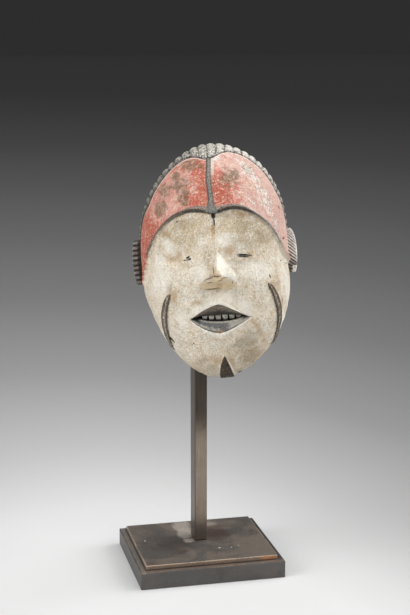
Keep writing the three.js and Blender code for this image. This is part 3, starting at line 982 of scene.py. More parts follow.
@dataclass(frozen=True)
class PaintedWood:
    """Chalky white, red ochre and black paint on old wood, for the shell, with painted shade and highlights.

    The scales of its patterns are repeats in a millimetre.
    """

    chalk: Colour = paint("f2e4ce")
    cool_chalk: Colour = paint("e8decd")
    white: Colour = paint("faf4e7")
    shaded: Colour = paint("ac9874")
    tan: Colour = paint("d2b486")
    beige: Colour = paint("c8b188")
    ochre: Colour = paint("b08a58")
    grime: Colour = paint("907a5a")
    taupe: Colour = paint("f2dab2")
    crease: Colour = paint("5d4a33")
    red: Colour = paint("c25d47")
    deep_red: Colour = paint("a84b37")
    pink: Colour = paint("dba598")
    washed: Colour = paint("e0c2b7")
    rose: Colour = paint("cd8b7d")
    dusk: Colour = paint("a0938f")
    pale_pink: Colour = paint("f2e1d9")
    cream: Colour = paint("eccbb2")
    olive: Colour = paint("958667")
    umber: Colour = paint("5a4a34")
    black: Colour = paint("2a2623")
    ridge: Colour = paint("91928a")
    dusty_black: Colour = paint("6f675a")
    dust: Colour = paint("a8a196")
    soot: Colour = paint("120f0d")
    lip: Colour = paint("4a4238")
    lip_olive: Colour = paint("827459")
    lower_lip: Colour = paint("7b7e7e")
    lip_light: Colour = paint("c2bbae")
    lip_gold: Colour = paint("a07e58")
    scar: Colour = paint("463424")
    bare: Colour = paint("6b5238")
    bare_dark: Colour = paint("3d2c1e")

    def chalk_face(self, kit: NodeKit) -> Socket:
        """Paints the white of the face with its brushed mottling, stains, specks, painted highlights and painted
        shade.

        Args:
            kit: the material's kit.

        Returns:
            The colour.
        """
        blotch = kit.cloud(0.085, 5, 0.62, 1.4)
        mottle = kit.cloud(0.13, 5, 0.62, 0.8)
        daub = kit.cloud(0.3, 4, 0.6, 2.4, upright=0.5)
        swirl = kit.cloud(0.36, 3, 0.6, 3.4)
        fine = kit.cloud(0.55, 4, 0.7)
        crumb = kit.cloud(1.1, 3, 0.75)
        edge = mottle.stray(2.0) + fine.stray(0.8)
        reach = kit.attribute("reach")
        # The band along the outline, which gets a painted highlight.
        rim = reach.rise(0.93, 0.985) * reach.rise(1.1, 1.02)
        specks = kit.specks(0.16).rise(0.16, 0.05) * kit.cloud(0.08, 2).rise(0.5, 0.62)
        return kit.coats(
            self.chalk,
            (kit.cloud(0.03, 3, 0.5).rise(0.42, 0.6), self.cool_chalk),
            # Painted shade on the shade marks.
            ((kit.attribute("shade") + edge * 0.4).rise(-0.35, 0.9) * 0.7, self.shaded),
            (blotch.rise(0.48, 0.36) * 0.5, self.tan),
            (blotch.rise(0.52, 0.64) * 0.6, self.white),
            (daub.rise(0.48, 0.38) * 0.5, self.beige),
            (daub.rise(0.52, 0.62) * 0.55, self.white),
            (kit.veins(0.16, 0.025) * fine.rise(0.42, 0.56) * 0.5, self.grime),
            (swirl.rise(0.46, 0.37) * 0.38, self.grime),
            (swirl.rise(0.53, 0.62) * 0.5, self.white),
            (crumb.rise(0.58, 0.7) * 0.18, self.grime),
            ((kit.attribute("grime") + edge).rise(-0.15, 0.85) * 0.45, self.grime),
            ((kit.attribute("ochre") + edge * 0.8).rise(-0.1, 0.8) * 0.5, self.ochre),
            # Painted highlights, and a few white chips.
            ((kit.attribute("bright") + edge * 0.6).rise(-0.1, 0.65) * 0.7, self.white),
            # Painted shade under the nose, with dirt.
            ((kit.attribute("taupe") + edge * 0.4).rise(-0.1, 0.35) * 0.85, self.taupe),
            # Painted shade in the nose's creases, and its brown line.
            ((kit.attribute("crease") + edge * 0.3).rise(0.0, 0.5) * 0.8, self.crease),
            # A painted highlight on the nose's right flank.
            ((kit.attribute("flank") + daub.stray(5)).rise(-0.5, 1.1) * 0.92, self.white),
            # A painted highlight round the lips' raised outer edge.
            ((kit.attribute("lips") + fine.stray(0.5)).rise(-0.75, -0.15) * 0.9, self.white),
            # A painted highlight along the outline.
            (rim * fine.rise(0.3, 0.55) * 0.65, self.white),
            (specks * 0.6, self.grime),
        )

    def red_field(self, kit: NodeKit) -> Socket:
        """Paints the forehead's red, washed out to pink and worn down to olive wood, with a painted highlight along
        its outline.

        Args:
            kit: the material's kit.

        Returns:
            The colour.
        """
        mottle = kit.cloud(0.16, 5, 0.65, 0.8)
        fine = kit.cloud(0.7, 4, 0.7)
        crumb = kit.cloud(1.0, 3, 0.75)
        streaks = kit.cloud(0.6, 3, 0.7, upright=0.4)
        edge = mottle.stray(2.2) + fine.stray(1.4)
        across = kit.along(0)
        reach = kit.attribute("reach")
        pale = kit.coats(
            self.pink,
            (across.rise(0, 24), self.washed),
            (fine.rise(0.5, 0.38) * 0.75, self.rose),
            (mottle.rise(0.52, 0.62) * 0.6, self.pale_pink),
            # Paler towards the right outline: painted highlight.
            (reach.rise(0.8, 0.93) * across.rise(20, 50) * 0.5, self.pale_pink),
        )
        clean = abs(across - 10).rise(14, 5) * kit.along(2).rise(108, 98)
        worn = kit.attribute("worn") + kit.cloud(0.12, 3, 0.6, 0.8).stray(1.8) + edge * 0.35
        bare = kit.coats(
            self.umber, (streaks.rise(0.46, 0.57), self.olive), (mottle.rise(0.52, 0.6) * 0.6, self.pink)
        )
        dusk = kit.mix(streaks.rise(0.42, 0.52), self.dusk, self.white)
        # The band along the outline, reaching further back on the right, which gets a painted highlight.
        rim = reach.rise(0.955, 0.98) * reach.rise(1.08, 1.02).most(across.rise(0, 10))
        # A pale line just below the hairline, and the outline's painted highlight.
        border = (kit.attribute("hairline") + fine.stray(1.2)).rise(-3.6, -2.6).most(rim)
        return kit.coats(
            self.red,
            (mottle.rise(0.4, 0.65), self.deep_red),
            (fine.rise(0.46, 0.64) * 0.36, self.pink),
            ((kit.attribute("washed") + edge * 0.6).rise(-0.3, 0.55) * 0.82, pale),
            (crumb.rise(0.42, 0.3) * 0.4, self.pink),
            (clean * 0.5, self.deep_red),
            (kit.veins(0.26, 0.085, 1, 1.4) * mottle.rise(0.42, 0.52) * 0.8, self.cream),
            (worn.rise(0.0, 0.45) * 0.72, bare),
            (crumb.rise(0.58, 0.7) * 0.3, self.pale_pink),
            ((kit.attribute("scuff") + edge * 0.9).rise(-0.05, 0.65) * 0.68, dusk),
            (border * 0.75, self.pale_pink),
        )

    def brows(self, kit: NodeKit, colour: Socket, ragged: Signal) -> Socket:
        """Lays the brow band, with painted shadow under its step, and the ridge over the red and the white.

        Args:
            kit: the material's kit.
            colour: what lies beneath.
            ragged: the unevenness of the paint's edges.

        Returns:
            The colour with both.
        """
        brow = kit.attribute("brow")
        ridge = kit.attribute("ridge")
        across = kit.along(0)
        height = kit.along(2)
        crumb = kit.cloud(0.9, 3, 0.75)
        black = kit.mix(kit.cloud(0.35, 5, 0.65).rise(0.44, 0.64) * 0.7, self.black, self.dusty_black)
        dusty = kit.coats(
            self.black,
            (crumb.rise(0.38, 0.56), self.dust),
            (across.rise(30, 42) * crumb.rise(0.3, 0.46) * 0.95, self.pale_pink),
        )
        ends = height.rise(22, 34)
        thin = across.rise(-38, -56).most(across.rise(34, 56) * 0.8)
        start = (brow + ragged * 0.5 - thin * 0.3).rise(-0.9, -0.3)
        in_band = start * (brow - kit.attribute("band") + ragged * 0.9 + thin * 0.5).rise(0.3, -0.6) * ends
        # The black line on the band's lower edge: black paint, darkened as painted shadow under the step.
        line = start * (brow + ragged * 0.4 + thin * 0.75 + across.rise(24, 44) * 0.6).rise(1.8, 0.9) * ends
        broken = (1.0 - thin * crumb.rise(0.52, 0.44) * 0.5) * (1.0 - across.rise(-18, -36) * 0.22)
        width = height.rise(82, 69) * 3.4 + 2.6
        on_ridge = (abs(ridge) - width + ragged * 0.5).rise(0.4, -0.3) * brow.rise(-1.0, 0.5)
        sides = abs(ridge - 0.2).rise(1.0, 1.9) * height.rise(70, 84)
        stone = kit.coats(self.black, (crumb.rise(0.36, 0.54), self.ridge), (sides * 0.62, self.black))
        strip = (ridge + ragged * 0.5).rise(2.0, 2.6) * (ridge + ragged * 0.8).rise(6.2, 4.6) * height.rise(98, 112)
        return kit.coats(
            colour,
            (in_band * 0.85 * broken, dusty),
            (line * 0.88 * broken, black),
            (on_ridge * 0.95, stone),
            (strip * 0.8, self.cool_chalk),
        )

    def mouth(self, kit: NodeKit, lips: Signal) -> Socket:
        """Paints the dark upper lip, the grey-blue lower lip and the black gap, with painted shade and light.

        Args:
            kit: the material's kit.
            lips: 0 on the lips' outer edge, 1 where they meet the gap and 2 inside it.

        Returns:
            The colour.
        """
        across = kit.along(0)
        patchy = kit.cloud(0.3, 4, 0.6)
        crumb = kit.cloud(0.8, 3, 0.7)
        upper = kit.coats(
            self.lip,
            (patchy.rise(0.45, 0.65) * 0.6, self.dusty_black),
            ((lips + crumb.stray(0.5)).rise(0.5, 0.1) * 0.45, self.lip_olive),
            (crumb.rise(0.46, 0.6) * 0.45, self.dust),
            # The upper lip darkens towards the gap: painted shade.
            ((lips + crumb.stray(0.4)).rise(0.3, 0.75) * 0.85, self.black),
            ((lips + crumb.stray(0.3)).rise(0.1, 0.0) * 0.6, self.black),
        )
        # The lower lip's lighter right part, partly dust and partly painted light.
        light = (across + patchy * 16).rise(13, 19).most((lips + patchy).rise(1.05, 0.8) * across.rise(2, -5))
        worn = (lips + crumb.stray(1.1)).rise(0.34, 0.1) * (abs(across + 1.0) + patchy * 6).rise(10, 4)
        # The lower lip is black paint drawn grey-blue: dust, and painted light where it faces up.
        lower = kit.coats(
            self.lower_lip,
            (crumb.rise(0.46, 0.6) * 0.75, self.dusty_black),
            (kit.veins(0.35, 0.05) * 0.6, self.black),
            (light * lips.rise(0.06, 0.25) * crumb.rise(0.3, 0.5) * 0.85, self.lip_light),
            ((lips + crumb.stray(0.2)).rise(0.85, 0.95) * 0.9, self.lip_light),
            ((lips + crumb.stray(0.5)).rise(0.14, 0.0) * 0.85, self.black),
            (worn * 0.85, self.lip_gold),
        )
        return kit.coats(
            lower,
            (kit.along(2).rise(-38.6, -37.4), upper),
            # Painted shade in the gap's corners and in the gap.
            (abs(across).rise(19.5, 24.5) * lips.rise(0.3, 0.8) * 0.9, self.soot),
            (lips.rise(1.05, 1.3), self.soot),
        )

    def scar_lines(self, kit: NodeKit, scar: Signal) -> Socket:
        """Paints the dark scars, streaked lengthwise, with a broken light line down the middle.

        Args:
            kit: the material's kit.
            scar: the distance from the nearest scar's middle line, 1 on its edge.

        Returns:
            The colour.
        """
        streaks = kit.cloud(0.7, 3, 0.7, upright=0.22)
        return kit.coats(
            self.scar,
            (streaks.rise(0.42, 0.58) * 0.45, self.dusty_black),
            (kit.cloud(0.6, 3, 0.75).rise(0.54, 0.62) * 0.3, self.chalk),
            ((scar + streaks.stray(0.8)).rise(0.4, 0.7) * 0.85, self.black),
            ((scar + streaks.stray(2.2)).rise(0.18, 0.02) * 0.5, self.chalk),
        )

    def make(self) -> Material:
        """Builds the material.

        Returns:
            The finish of the shell, outside and inside.
        """
        kit = NodeKit("painted_wood")
        ragged = kit.cloud(0.4, 4, 0.65).stray(1.6)
        lips = kit.attribute("lips")
        scar = kit.attribute("scar")
        over_brow = (kit.attribute("brow") + ragged * 0.4).rise(-0.6, 0.7)
        ground = kit.mix(over_brow, self.chalk_face(kit), self.red_field(kit))
        flecks = kit.mix(kit.cloud(0.5, 4, 0.7).rise(0.46, 0.6) * 0.5, self.black, self.grime)
        grain = kit.cloud(0.5, 4, 0.6, upright=0.12)
        wood = kit.mix(grain.rise(0.35, 0.65), self.bare_dark, self.bare)
        colour = kit.coats(
            self.brows(kit, ground, ragged),
            # A black line just below the hairline: painted shadow of the braids' front edge.
            ((kit.attribute("hairline") + ragged * 0.6).rise(-1.5, -0.7) * 0.9, self.black),
            ((scar + ragged * 0.4).rise(1.15, 0.8) * 0.94, self.scar_lines(kit, scar)),
            ((kit.attribute("wedge") + ragged * 0.35).rise(-0.3, 0.4), flecks),
            ((lips + ragged * 0.04).rise(-0.06, 0.02), self.mouth(kit, lips)),
            # Painted shade black on the eye slits, their walls, pits, a hole and notches, and a few dark specks.
            ((kit.attribute("dark") + ragged * 0.3).rise(0.0, 0.3) * 0.94, self.soot),
            (kit.attribute("inside").rise(0.4, 0.6), wood),
        )
        fine = kit.cloud(0.9, 5, 0.7)
        rough = 0.62 + fine * 0.25 - over_brow * 0.08
        height = kit.cloud(0.22, 4, 0.6, 2.2) * 1.3 + fine * 0.13 + grain * 0.2
        return kit.finish(colour, {"Roughness": rough, "Normal": kit.bump(height, 0.0023), "Specular IOR Level": 0.3})


@dataclass(frozen=True)
class HairPaint:
    """Black paint on the braids and ears, rubbed grey along what stands proud, with painted shade and painted light.
    """

    name: str = "hair_paint"
    groove: Colour = paint("262320")
    black: Colour = paint("4f4b45")
    rubbed: Colour = paint("9c968c")
    chalky: Colour = paint("e4dfd5")

    def make(self) -> Material:
        """Builds the material.

        Returns:
            The finish of the braids or of one ear.
        """
        kit = NodeKit(self.name)
        crest = kit.attribute("crest")
        side = kit.attribute("light_side")
        patchy = kit.cloud(0.22, 5, 0.65)
        fine = kit.cloud(0.6, 4, 0.75)
        rub = (crest + side * 0.4 + patchy.stray(1.4) + fine.stray(2.4)).rise(0.6, 1.15)
        # Darkest in the grooves, painted shade; the crests' rubbed grey is wear, lighter still on the light side as
        # painted light.
        colour = kit.coats(
            self.groove,
            (crest.rise(0.1, 0.6), self.black),
            (rub * 0.85, self.rubbed),
            (rub * (side + fine.stray(2.4)).rise(0.25, 0.85) * 0.85, self.chalky),
            (kit.cloud(0.85, 3, 0.75).rise(0.54, 0.62) * 0.65, self.groove),
        )
        normal = kit.bump(fine * 0.6 + patchy * 0.5, 0.0008)
        return kit.finish(colour, {"Roughness": 0.55 + fine * 0.25, "Normal": normal, "Specular IOR Level": 0.3})


@dataclass(frozen=True)
class ToothPaint:
    """Grey-green paint on the teeth, with painted shade on their lower halves and sides."""

    tooth: Colour = paint("97968c")
    root: Colour = paint("2e2923")
    stain: Colour = paint("6a6253")

    def make(self) -> Material:
        """Builds the material.

        Returns:
            The finish of the teeth.
        """
        kit = NodeKit("tooth_paint")
        patchy = kit.cloud(0.6, 4, 0.6)
        colour = kit.coats(
            self.tooth,
            (patchy.rise(0.42, 0.58) * 0.8, self.stain),
            (kit.along(0).rise(13.5, 16) * 0.7, self.stain),
            # Painted shade on the teeth's lower halves and sides.
            (kit.attribute("crest").rise(0.35, 0.0), self.root),
        )
        return kit.finish(colour, {"Roughness": 0.45 + patchy * 0.2, "Normal": kit.bump(patchy, 0.0006)})


@dataclass(frozen=True)
class Stain:
    """A cloud of another colour on the metal: an oval's middle and half sizes in metres, and its look."""

    centre: Triple
    size: Triple
    colour: Colour
    amount: float = 0.8
    ragged: float = 0.8
    soft: float = 0.4


@dataclass(frozen=True)
class Patina:
    """Patinated brass: clouds of brown over grey, brushed lines and rubbed edges."""

    name: str
    ground: Colour
    cloudy: Colour
    rubbed: Colour
    dark: Colour
    brushed: float = 1.0
    brush_depth: float = 0.0001
    gloss: float = 0.4
    metal: float = 0.3
    rub: float = 0.35
    stains: tuple[Stain, ...] = ()

    def make(self) -> Material:
        """Builds the material.

        Returns:
            The finish of one bar or block.
        """
        kit = NodeKit(self.name, carved=False)
        clouds = kit.cloud(22, 5, 0.6, 0.8)
        brown = kit.cloud(55, 4, 0.6, 0.4)
        brush = kit.cloud(500, 3, 0.6, upright=self.brushed)
        edge = kit.attribute("edge") + brown.stray(0.8) + brush.stray(0.5)
        colour = kit.coats(
            self.ground,
            (clouds.rise(0.42, 0.62), self.cloudy),
            (brown.rise(0.55, 0.7) * 0.5, self.dark),
            (brush.rise(0.5, 0.75) * self.rub, self.rubbed),
            (edge.rise(0.5, 0.9) * 0.9, self.rubbed),
        )
        for stain in self.stains:
            inside = 1.0 - kit.oval(stain.centre, stain.size)
            inside = inside + brown.stray(stain.ragged) + brush.stray(stain.ragged * 0.5)
            tone = kit.mix(brush.rise(0.62, 0.4) * 0.25, stain.colour, self.dark)
            colour = kit.mix(inside.rise(0.0, stain.soft) * stain.amount, colour, tone)
        normal = kit.bump(brush * 0.7 + clouds * 0.3, self.brush_depth)
        return kit.finish(colour, {"Roughness": self.gloss + clouds * 0.14, "Metallic": self.metal, "Normal": normal})


@dataclass
class CarvedPart:
    """A part of the one carving. Its sizes are millimetres in the mask's frame."""

    carving: Carving

    @property
    def form(self) -> MaskForm:
        """The smooth form under the carving."""
        return self.carving.form

    def shape(self, name: str, bm: bmesh.types.BMesh, points: Array, marks: dict[str, Array]) -> Piece:
        """Hangs a mesh on the stand.

        Args:
            name: the piece's name.
            bm: the mesh, which is freed.
            points: its points in the mask's frame, which are kept for the paint.
            marks: other numbers to keep for the paint.

        Returns:
            The piece, still without a finish.
        """
        return solid(name, bm, self.form.hung(points), marks | {"place": points})

    def dress(self, piece: Piece, material: Material) -> Piece:
        """Makes a shape part of the mask's painted wood."""
        return own(piece, "mask", material)


@dataclass
class MaskShell(CarvedPart):
    """The hollow shell with its carved face: rows run from the nose to the rim and back inside."""

    wear: WearMarks = field(default_factory=WearMarks)
    columns: int = 364
    column_crowd: float = 0.24
    face_rows: int = 122
    row_crowd: float = 0.25
    field_rows: int = 46
    side_rows: int = 40
    rim_rows: int = 10
    inner_rows: int = 44
    hair_from: float = -0.05
    hair_blend: float = 0.03
    hair_paint_turn: float = 0.41 * math.pi
    hairless: float = -9.0
    relief_fade: float = 0.35
    rim_rounding: float = 1.4
    bare_from: float = 0.12
    adze: tuple[tuple[float, float, int], ...] = ((0.35, 22, 8), (0.12, 7, 9))
    side_cuts: float = 0.25
    slits: tuple[Patch, ...] = patches((28.0, 24.4, 7.7, 0.65, -12.5), (-28.2, 26.2, 2.0, 0.85, 30.0))
    slit_rise: float = 0.2
    slit_steps: int = 28
    slit_reach: tuple[float, float] = (-8.0, 30.0)

    def rows(self) -> int:
        """The number of bands from the front pole to the back pole."""
        return self.face_rows + self.field_rows + self.side_rows + self.rim_rows + self.inner_rows

    def track(self, angle: Array, row: Array) -> tuple[Array, Array, Array]:
        """Follows a column from the nose to the rim and back inside.

        Args:
            angle: the column's direction.
            row: how many bands from the front pole.

        Returns:
            The share, the wall offset and how far round the rim each vertex is, from 0 to 1.
        """
        brow = self.carving.brow_share(angle)
        hair = np.where(np.sin(angle) > self.hair_from, self.carving.hair_share(angle), self.carving.hair_end)
        crowd = 1 + self.row_crowd * np.clip(np.sin(angle) * 3, 0, 1)
        first = self.face_rows
        second = first + self.field_rows
        third = second + self.side_rows
        fourth = third + self.rim_rows
        face = brow * (1 - (1 - np.clip(row / first, 0, 1)) ** crowd)
        field_part = brow + (hair - brow) * np.clip((row - first) / self.field_rows, 0, 1)
        side_part = hair + (2 - hair) * np.clip((row - second) / self.side_rows, 0, 1)
        inner = 2 * (1 - np.clip((row - fourth) / self.inner_rows, 0, 1))
        share = np.select([row <= first, row <= second, row <= fourth], [face, field_part, side_part], inner)
        around = np.clip((row - third) / self.rim_rows, 0, 1)
        return share, self.form.wall * (1 - np.cos(around * math.pi)) / 2, around

    def marks(self, angle: Array, share: Array, around: Array) -> dict[str, Array]:
        """Works out the distances and patches that the paint follows.

        Args:
            angle: the vertices' directions.
            share: their places on the form.
            around: how far round the rim they are.

        Returns:
            The numbers by name, in millimetres where they are distances, cut off where no paint reaches.
        """
        carving = self.carving
        x, z = self.form.seen(angle, share)
        tilt = np.minimum(share, 1) * math.pi / 2
        per_share = np.hypot(self.form.outline(angle) * np.cos(tilt), self.form.dome * np.sin(tilt)) * math.pi / 2
        hairy = np.abs(angle - math.pi / 2) < self.hair_paint_turn
        hairline = np.where(hairy, (share - carving.hair_share(angle)) * per_share, self.hairless)
        values = {
            "brow": np.clip(carving.above_brow(x, z), -20, 60),
            "band": carving.band_width(x),
            "hairline": np.clip(hairline, -20, 20),
            "ridge": np.clip(carving.ridge_offset(x, z), -12, 12),
            "scar": carving.scar_marks(x, z)[0],
            "wedge": np.clip(carving.wedge_mark(x, z), -6, 6),
            "lips": carving.lip_places(x, z),
            # The nose's right flank, which gets a painted highlight.
            "flank": np.clip(carving.bright_flank(x, z), -3, 3),
            "reach": share,
        }
        return values | self.wear.covers(x, z) | {"inside": (around > self.bare_from).astype(float)}

    def lift(self, angle: Array, share: Array, around: Array) -> Array:
        """Adds the carving in front, the tool marks on the sides and the adze marks inside.

        Args:
            angle: the vertices' directions.
            share: their places on the form.
            around: how far round the rim they are.

        Returns:
            The height above the smooth form.
        """
        x, z = self.form.seen(angle, share)
        fade = np.clip(1 - (share - 1) / self.relief_fade, 0, 1)
        past_hairline = share - self.carving.hair_share(angle)
        under_hair = smooth(0.0, self.hair_blend, past_hairline) * (np.sin(angle) > 0.5)
        carved = self.carving.relief(x, z) * fade * (1 - under_hair)
        side = self.side_cuts * chatter(angle * 70, share * 60, 14, 5) * (share > 1) * (around <= 0)
        adze = hewn(x, z, self.adze) * np.clip((2 - share) * 4, 0, 1)
        return np.where(around >= 1, adze, carved + side)

    def build(self, material: Material) -> Piece:
        """Shapes the shell and cuts the eye slits.

        Args:
            material: the painted wood.

        Returns:
            The finished piece.
        """
        bm = bmesh.new()
        bmesh.ops.create_uvsphere(bm, u_segments=self.columns, v_segments=self.rows(), radius=1)
        unit = from_unit(bm)
        row = np.round(np.arccos(np.clip(unit[:, 2], -1, 1)) / math.pi * self.rows())
        turn = np.arctan2(unit[:, 1], unit[:, 0])
        angle = turn + self.column_crowd * np.sin(2 * turn)
        share, wall, around = self.track(angle, row)
        points = self.form.surface(angle, share, self.lift(angle, share, around), wall)
        on_rim = ((around > 0) & (around < 1)) | (share >= 1.999)
        points[:, 1] -= np.where(on_rim, self.rim_rounding * (1 - np.sqrt(arc(around))), 0)
        piece = self.shape("mask_shell", bm, points, self.marks(angle, share, around))
        for index, slit in enumerate(self.slits):
            self.cut(piece, self.slit_cutter(index, slit))
        return self.dress(piece, material)

    def slit_cutter(self, index: int, slit: Patch) -> Piece:
        """Makes a lens-shaped prism that reaches through the wall where an eye is.

        Args:
            index: the eye's number.
            slit: the slit that it cuts.

        Returns:
            The prism.
        """
        bm = bmesh.new()
        bmesh.ops.create_circle(bm, cap_ends=True, segments=self.slit_steps, radius=1)
        made = bmesh.ops.extrude_face_region(bm, geom=bm.faces[:])
        moved = [v for v in made["geom"] if isinstance(v, bmesh.types.BMVert)]
        bmesh.ops.translate(bm, vec=(0, 0, 1), verts=moved)
        unit = from_unit(bm)
        cos, sin = math.cos(math.radians(slit.turn)), math.sin(math.radians(slit.turn))
        across = unit[:, 0] * slit.wide
        upward = np.sign(unit[:, 1]) * np.abs(unit[:, 1]) ** 1.3 * slit.tall
        side = slit.x + across * cos - upward * sin
        height = slit.z + across * sin + upward * cos
        skin = self.carving.skin(side, height)[:, 1]
        front, back = self.slit_reach
        depth = skin.mean() + np.where(unit[:, 2] > 0.5, back, front)
        points = np.stack([side, depth, height + (depth - skin) * self.slit_rise], -1)
        # Its walls carry the dark mark, so the slit's walls get painted shade.
        return self.shape(f"slit_{index}", bm, points, {"dark": np.ones(len(points))})

    def cut(self, piece: Piece, cutter: Piece) -> None:
        """Takes one cutter out of the shell and removes it.

        Args:
            piece: the shell, which gets a new mesh.
            cutter: the closed shape to take out.
        """
        modifier = piece.modifiers.new("slit", "BOOLEAN")
        modifier.object = cutter
        modifier.operation = "DIFFERENCE"
        modifier.solver = "MANIFOLD"
        context = bpy.context.evaluated_depsgraph_get()
        mesh = bpy.data.meshes.new_from_object(piece.evaluated_get(context))
        piece.modifiers.clear()
        old = piece.data
        mesh.materials.clear()
        piece.data = mesh
        mesh.name = piece.name
        bpy.data.meshes.remove(old)
        bpy.data.objects.remove(cutter)


@dataclass
class BraidedHair(CarvedPart):
    """Thin braids carved side by side from the hairline back to the rim."""

    count: int = 38
    start: float = 0.09 * math.pi
    end: float = 0.91 * math.pi
    last_share: float = 1.985
    per_share: float = 95.0
    lift: float = 2.5
    bed: float = 0.6
    root: float = 3.0
    columns_each: int = 8
    rows: int = 112
    row_crowd: float = 1.15
    cut_pitch: float = 4.4
    cut_slant: float = 1.1
    cut_seed: int = 11
    fill: float = 0.46
    tip: float = 1.6
    tip_drop: float = 0.8
    uneven: float = 0.25

    def knots(self, u: Array, length: Array) -> tuple[Array, Array]:
        """Rounds each braid and cuts it across.

        Args:
            u: places across all braids, from 0 to 1.
            length: how far behind the hairline they are.

        Returns:
            The height of the round braid and of its knots, each from 0 to 1.
        """
        braid = u * self.count
        phase = braid - np.floor(np.clip(braid, 0, self.count - 1e-6))
        dice = np.random.default_rng(self.cut_seed)
        offset = dice.uniform(0, 1, self.count + 1)[np.clip(braid.astype(int), 0, self.count - 1)]
        round_top = self.fill + (1 - self.fill) * arc(phase) ** 0.7
        twist = np.abs(np.sin(math.pi * (length / self.cut_pitch + offset + self.cut_slant * (phase - 0.5))))
        return round_top, round_top * (0.5 + 0.5 * twist**0.5)

    def build(self, material: Material) -> Piece:
        """Shapes the sheet of braids with its root inside the shell.

        Args:
            material: the braids' paint.

        Returns:
            The finished piece.
        """
        bm = bmesh.new()
        bmesh.ops.create_grid(bm, x_segments=self.count * self.columns_each, y_segments=self.rows, size=0.5)
        bmesh.ops.solidify(bm, geom=bm.faces[:], thickness=1)
        unit = from_unit(bm)
        u = np.clip(unit[:, 0] + 0.5, 0, 1)
        v = np.clip(unit[:, 1] + 0.5, 0, 1)
        angle = self.start + (self.end - self.start) * u
        first = self.carving.hair_share(angle)
        share = first + (self.last_share - first) * v**self.row_crowd
        length = (share - first) * self.per_share
        round_top, knots = self.knots(u, length)
        front = np.clip(length / self.tip, 0, 1)
        tip = np.sqrt(np.clip(1 - (1 - front) ** 2, 0, 1))
        height = -self.bed + (self.lift + self.bed) * knots
        uneven = self.uneven * chatter(angle * 90, length, 11, 21)
        height = (height + uneven * round_top) * tip - self.tip_drop * (1 - tip)
        rooted = np.abs(unit[:, 2]) > 0.5
        points = self.form.surface(angle, share, np.where(rooted, -self.root, np.minimum(height, self.lift)))
        # Lighter on the right and over the top: painted light.
        light = 0.5 * smooth(-0.35, 0.4, np.cos(angle)) + 0.3 * smooth(0.75, 0.97, np.sin(angle))
        marks = {"crest": np.clip(knots * (0.35 + 0.65 * tip), 0, 1), "light_side": light}
        return self.dress(self.shape("mask_hair", bm, points, marks), material)


@dataclass
class Teeth(CarvedPart):
    """A row of small blocks that hang behind the upper lip."""

    count: int = 6
    width: float = 5.8
    height: float = 5.6
    pitch: float = 6.9
    shift: float = 1.4
    depth: float = 4.0
    setback: float = 5.2
    rounding: float = 0.34
    shrink: float = 0.03
    taper: float = 0.06

    def build(self, material: Material) -> Piece:
        """Shapes all teeth as one mesh.

        Args:
            material: the teeth's paint.

        Returns:
            The finished piece.
        """
        bm = bmesh.new()
        homes: list[tuple[float, float]] = []
        for index in range(self.count):
            block = bmesh.ops.create_cube(bm, size=2)
            edges = {e for v in block["verts"] for e in v.link_edges}
            bmesh.ops.bevel(
                bm, geom=list(edges), offset=self.rounding, segments=3, profile=0.5, affect="EDGES", material=-1
            )
            side = index - (self.count - 1) / 2
            home = (self.carving.mouth_x + self.shift + side * self.pitch, 1 - self.shrink * side * side)
            homes += [home] * (len(bm.verts) - len(homes))
        unit = from_unit(bm)
        centre, size = np.array(homes).T
        x = centre + unit[:, 0] * self.width / 2 * (1 - self.taper * (1 - unit[:, 2]))
        top = self.carving.mouth_line(x) + self.carving.gap_top
        z = top - self.height * size / 2 + unit[:, 2] * self.height * size / 2
        relief = self.carving.face_relief(x, z) - self.setback
        angle, share = self.form.shares(x, z)
        points = self.form.surface(angle, share, relief + unit[:, 1] * -self.depth / 2 - self.depth / 2)
        # crest is low on each tooth's lower half and sides, where the paint lays painted shade.
        crest = np.clip(1.1 - np.abs(unit[:, 0]) ** 4, 0, 1) * smooth(-0.3, 0.7, unit[:, 2])
        return self.dress(self.shape("mask_teeth", bm, points, {"crest": crest}), material)


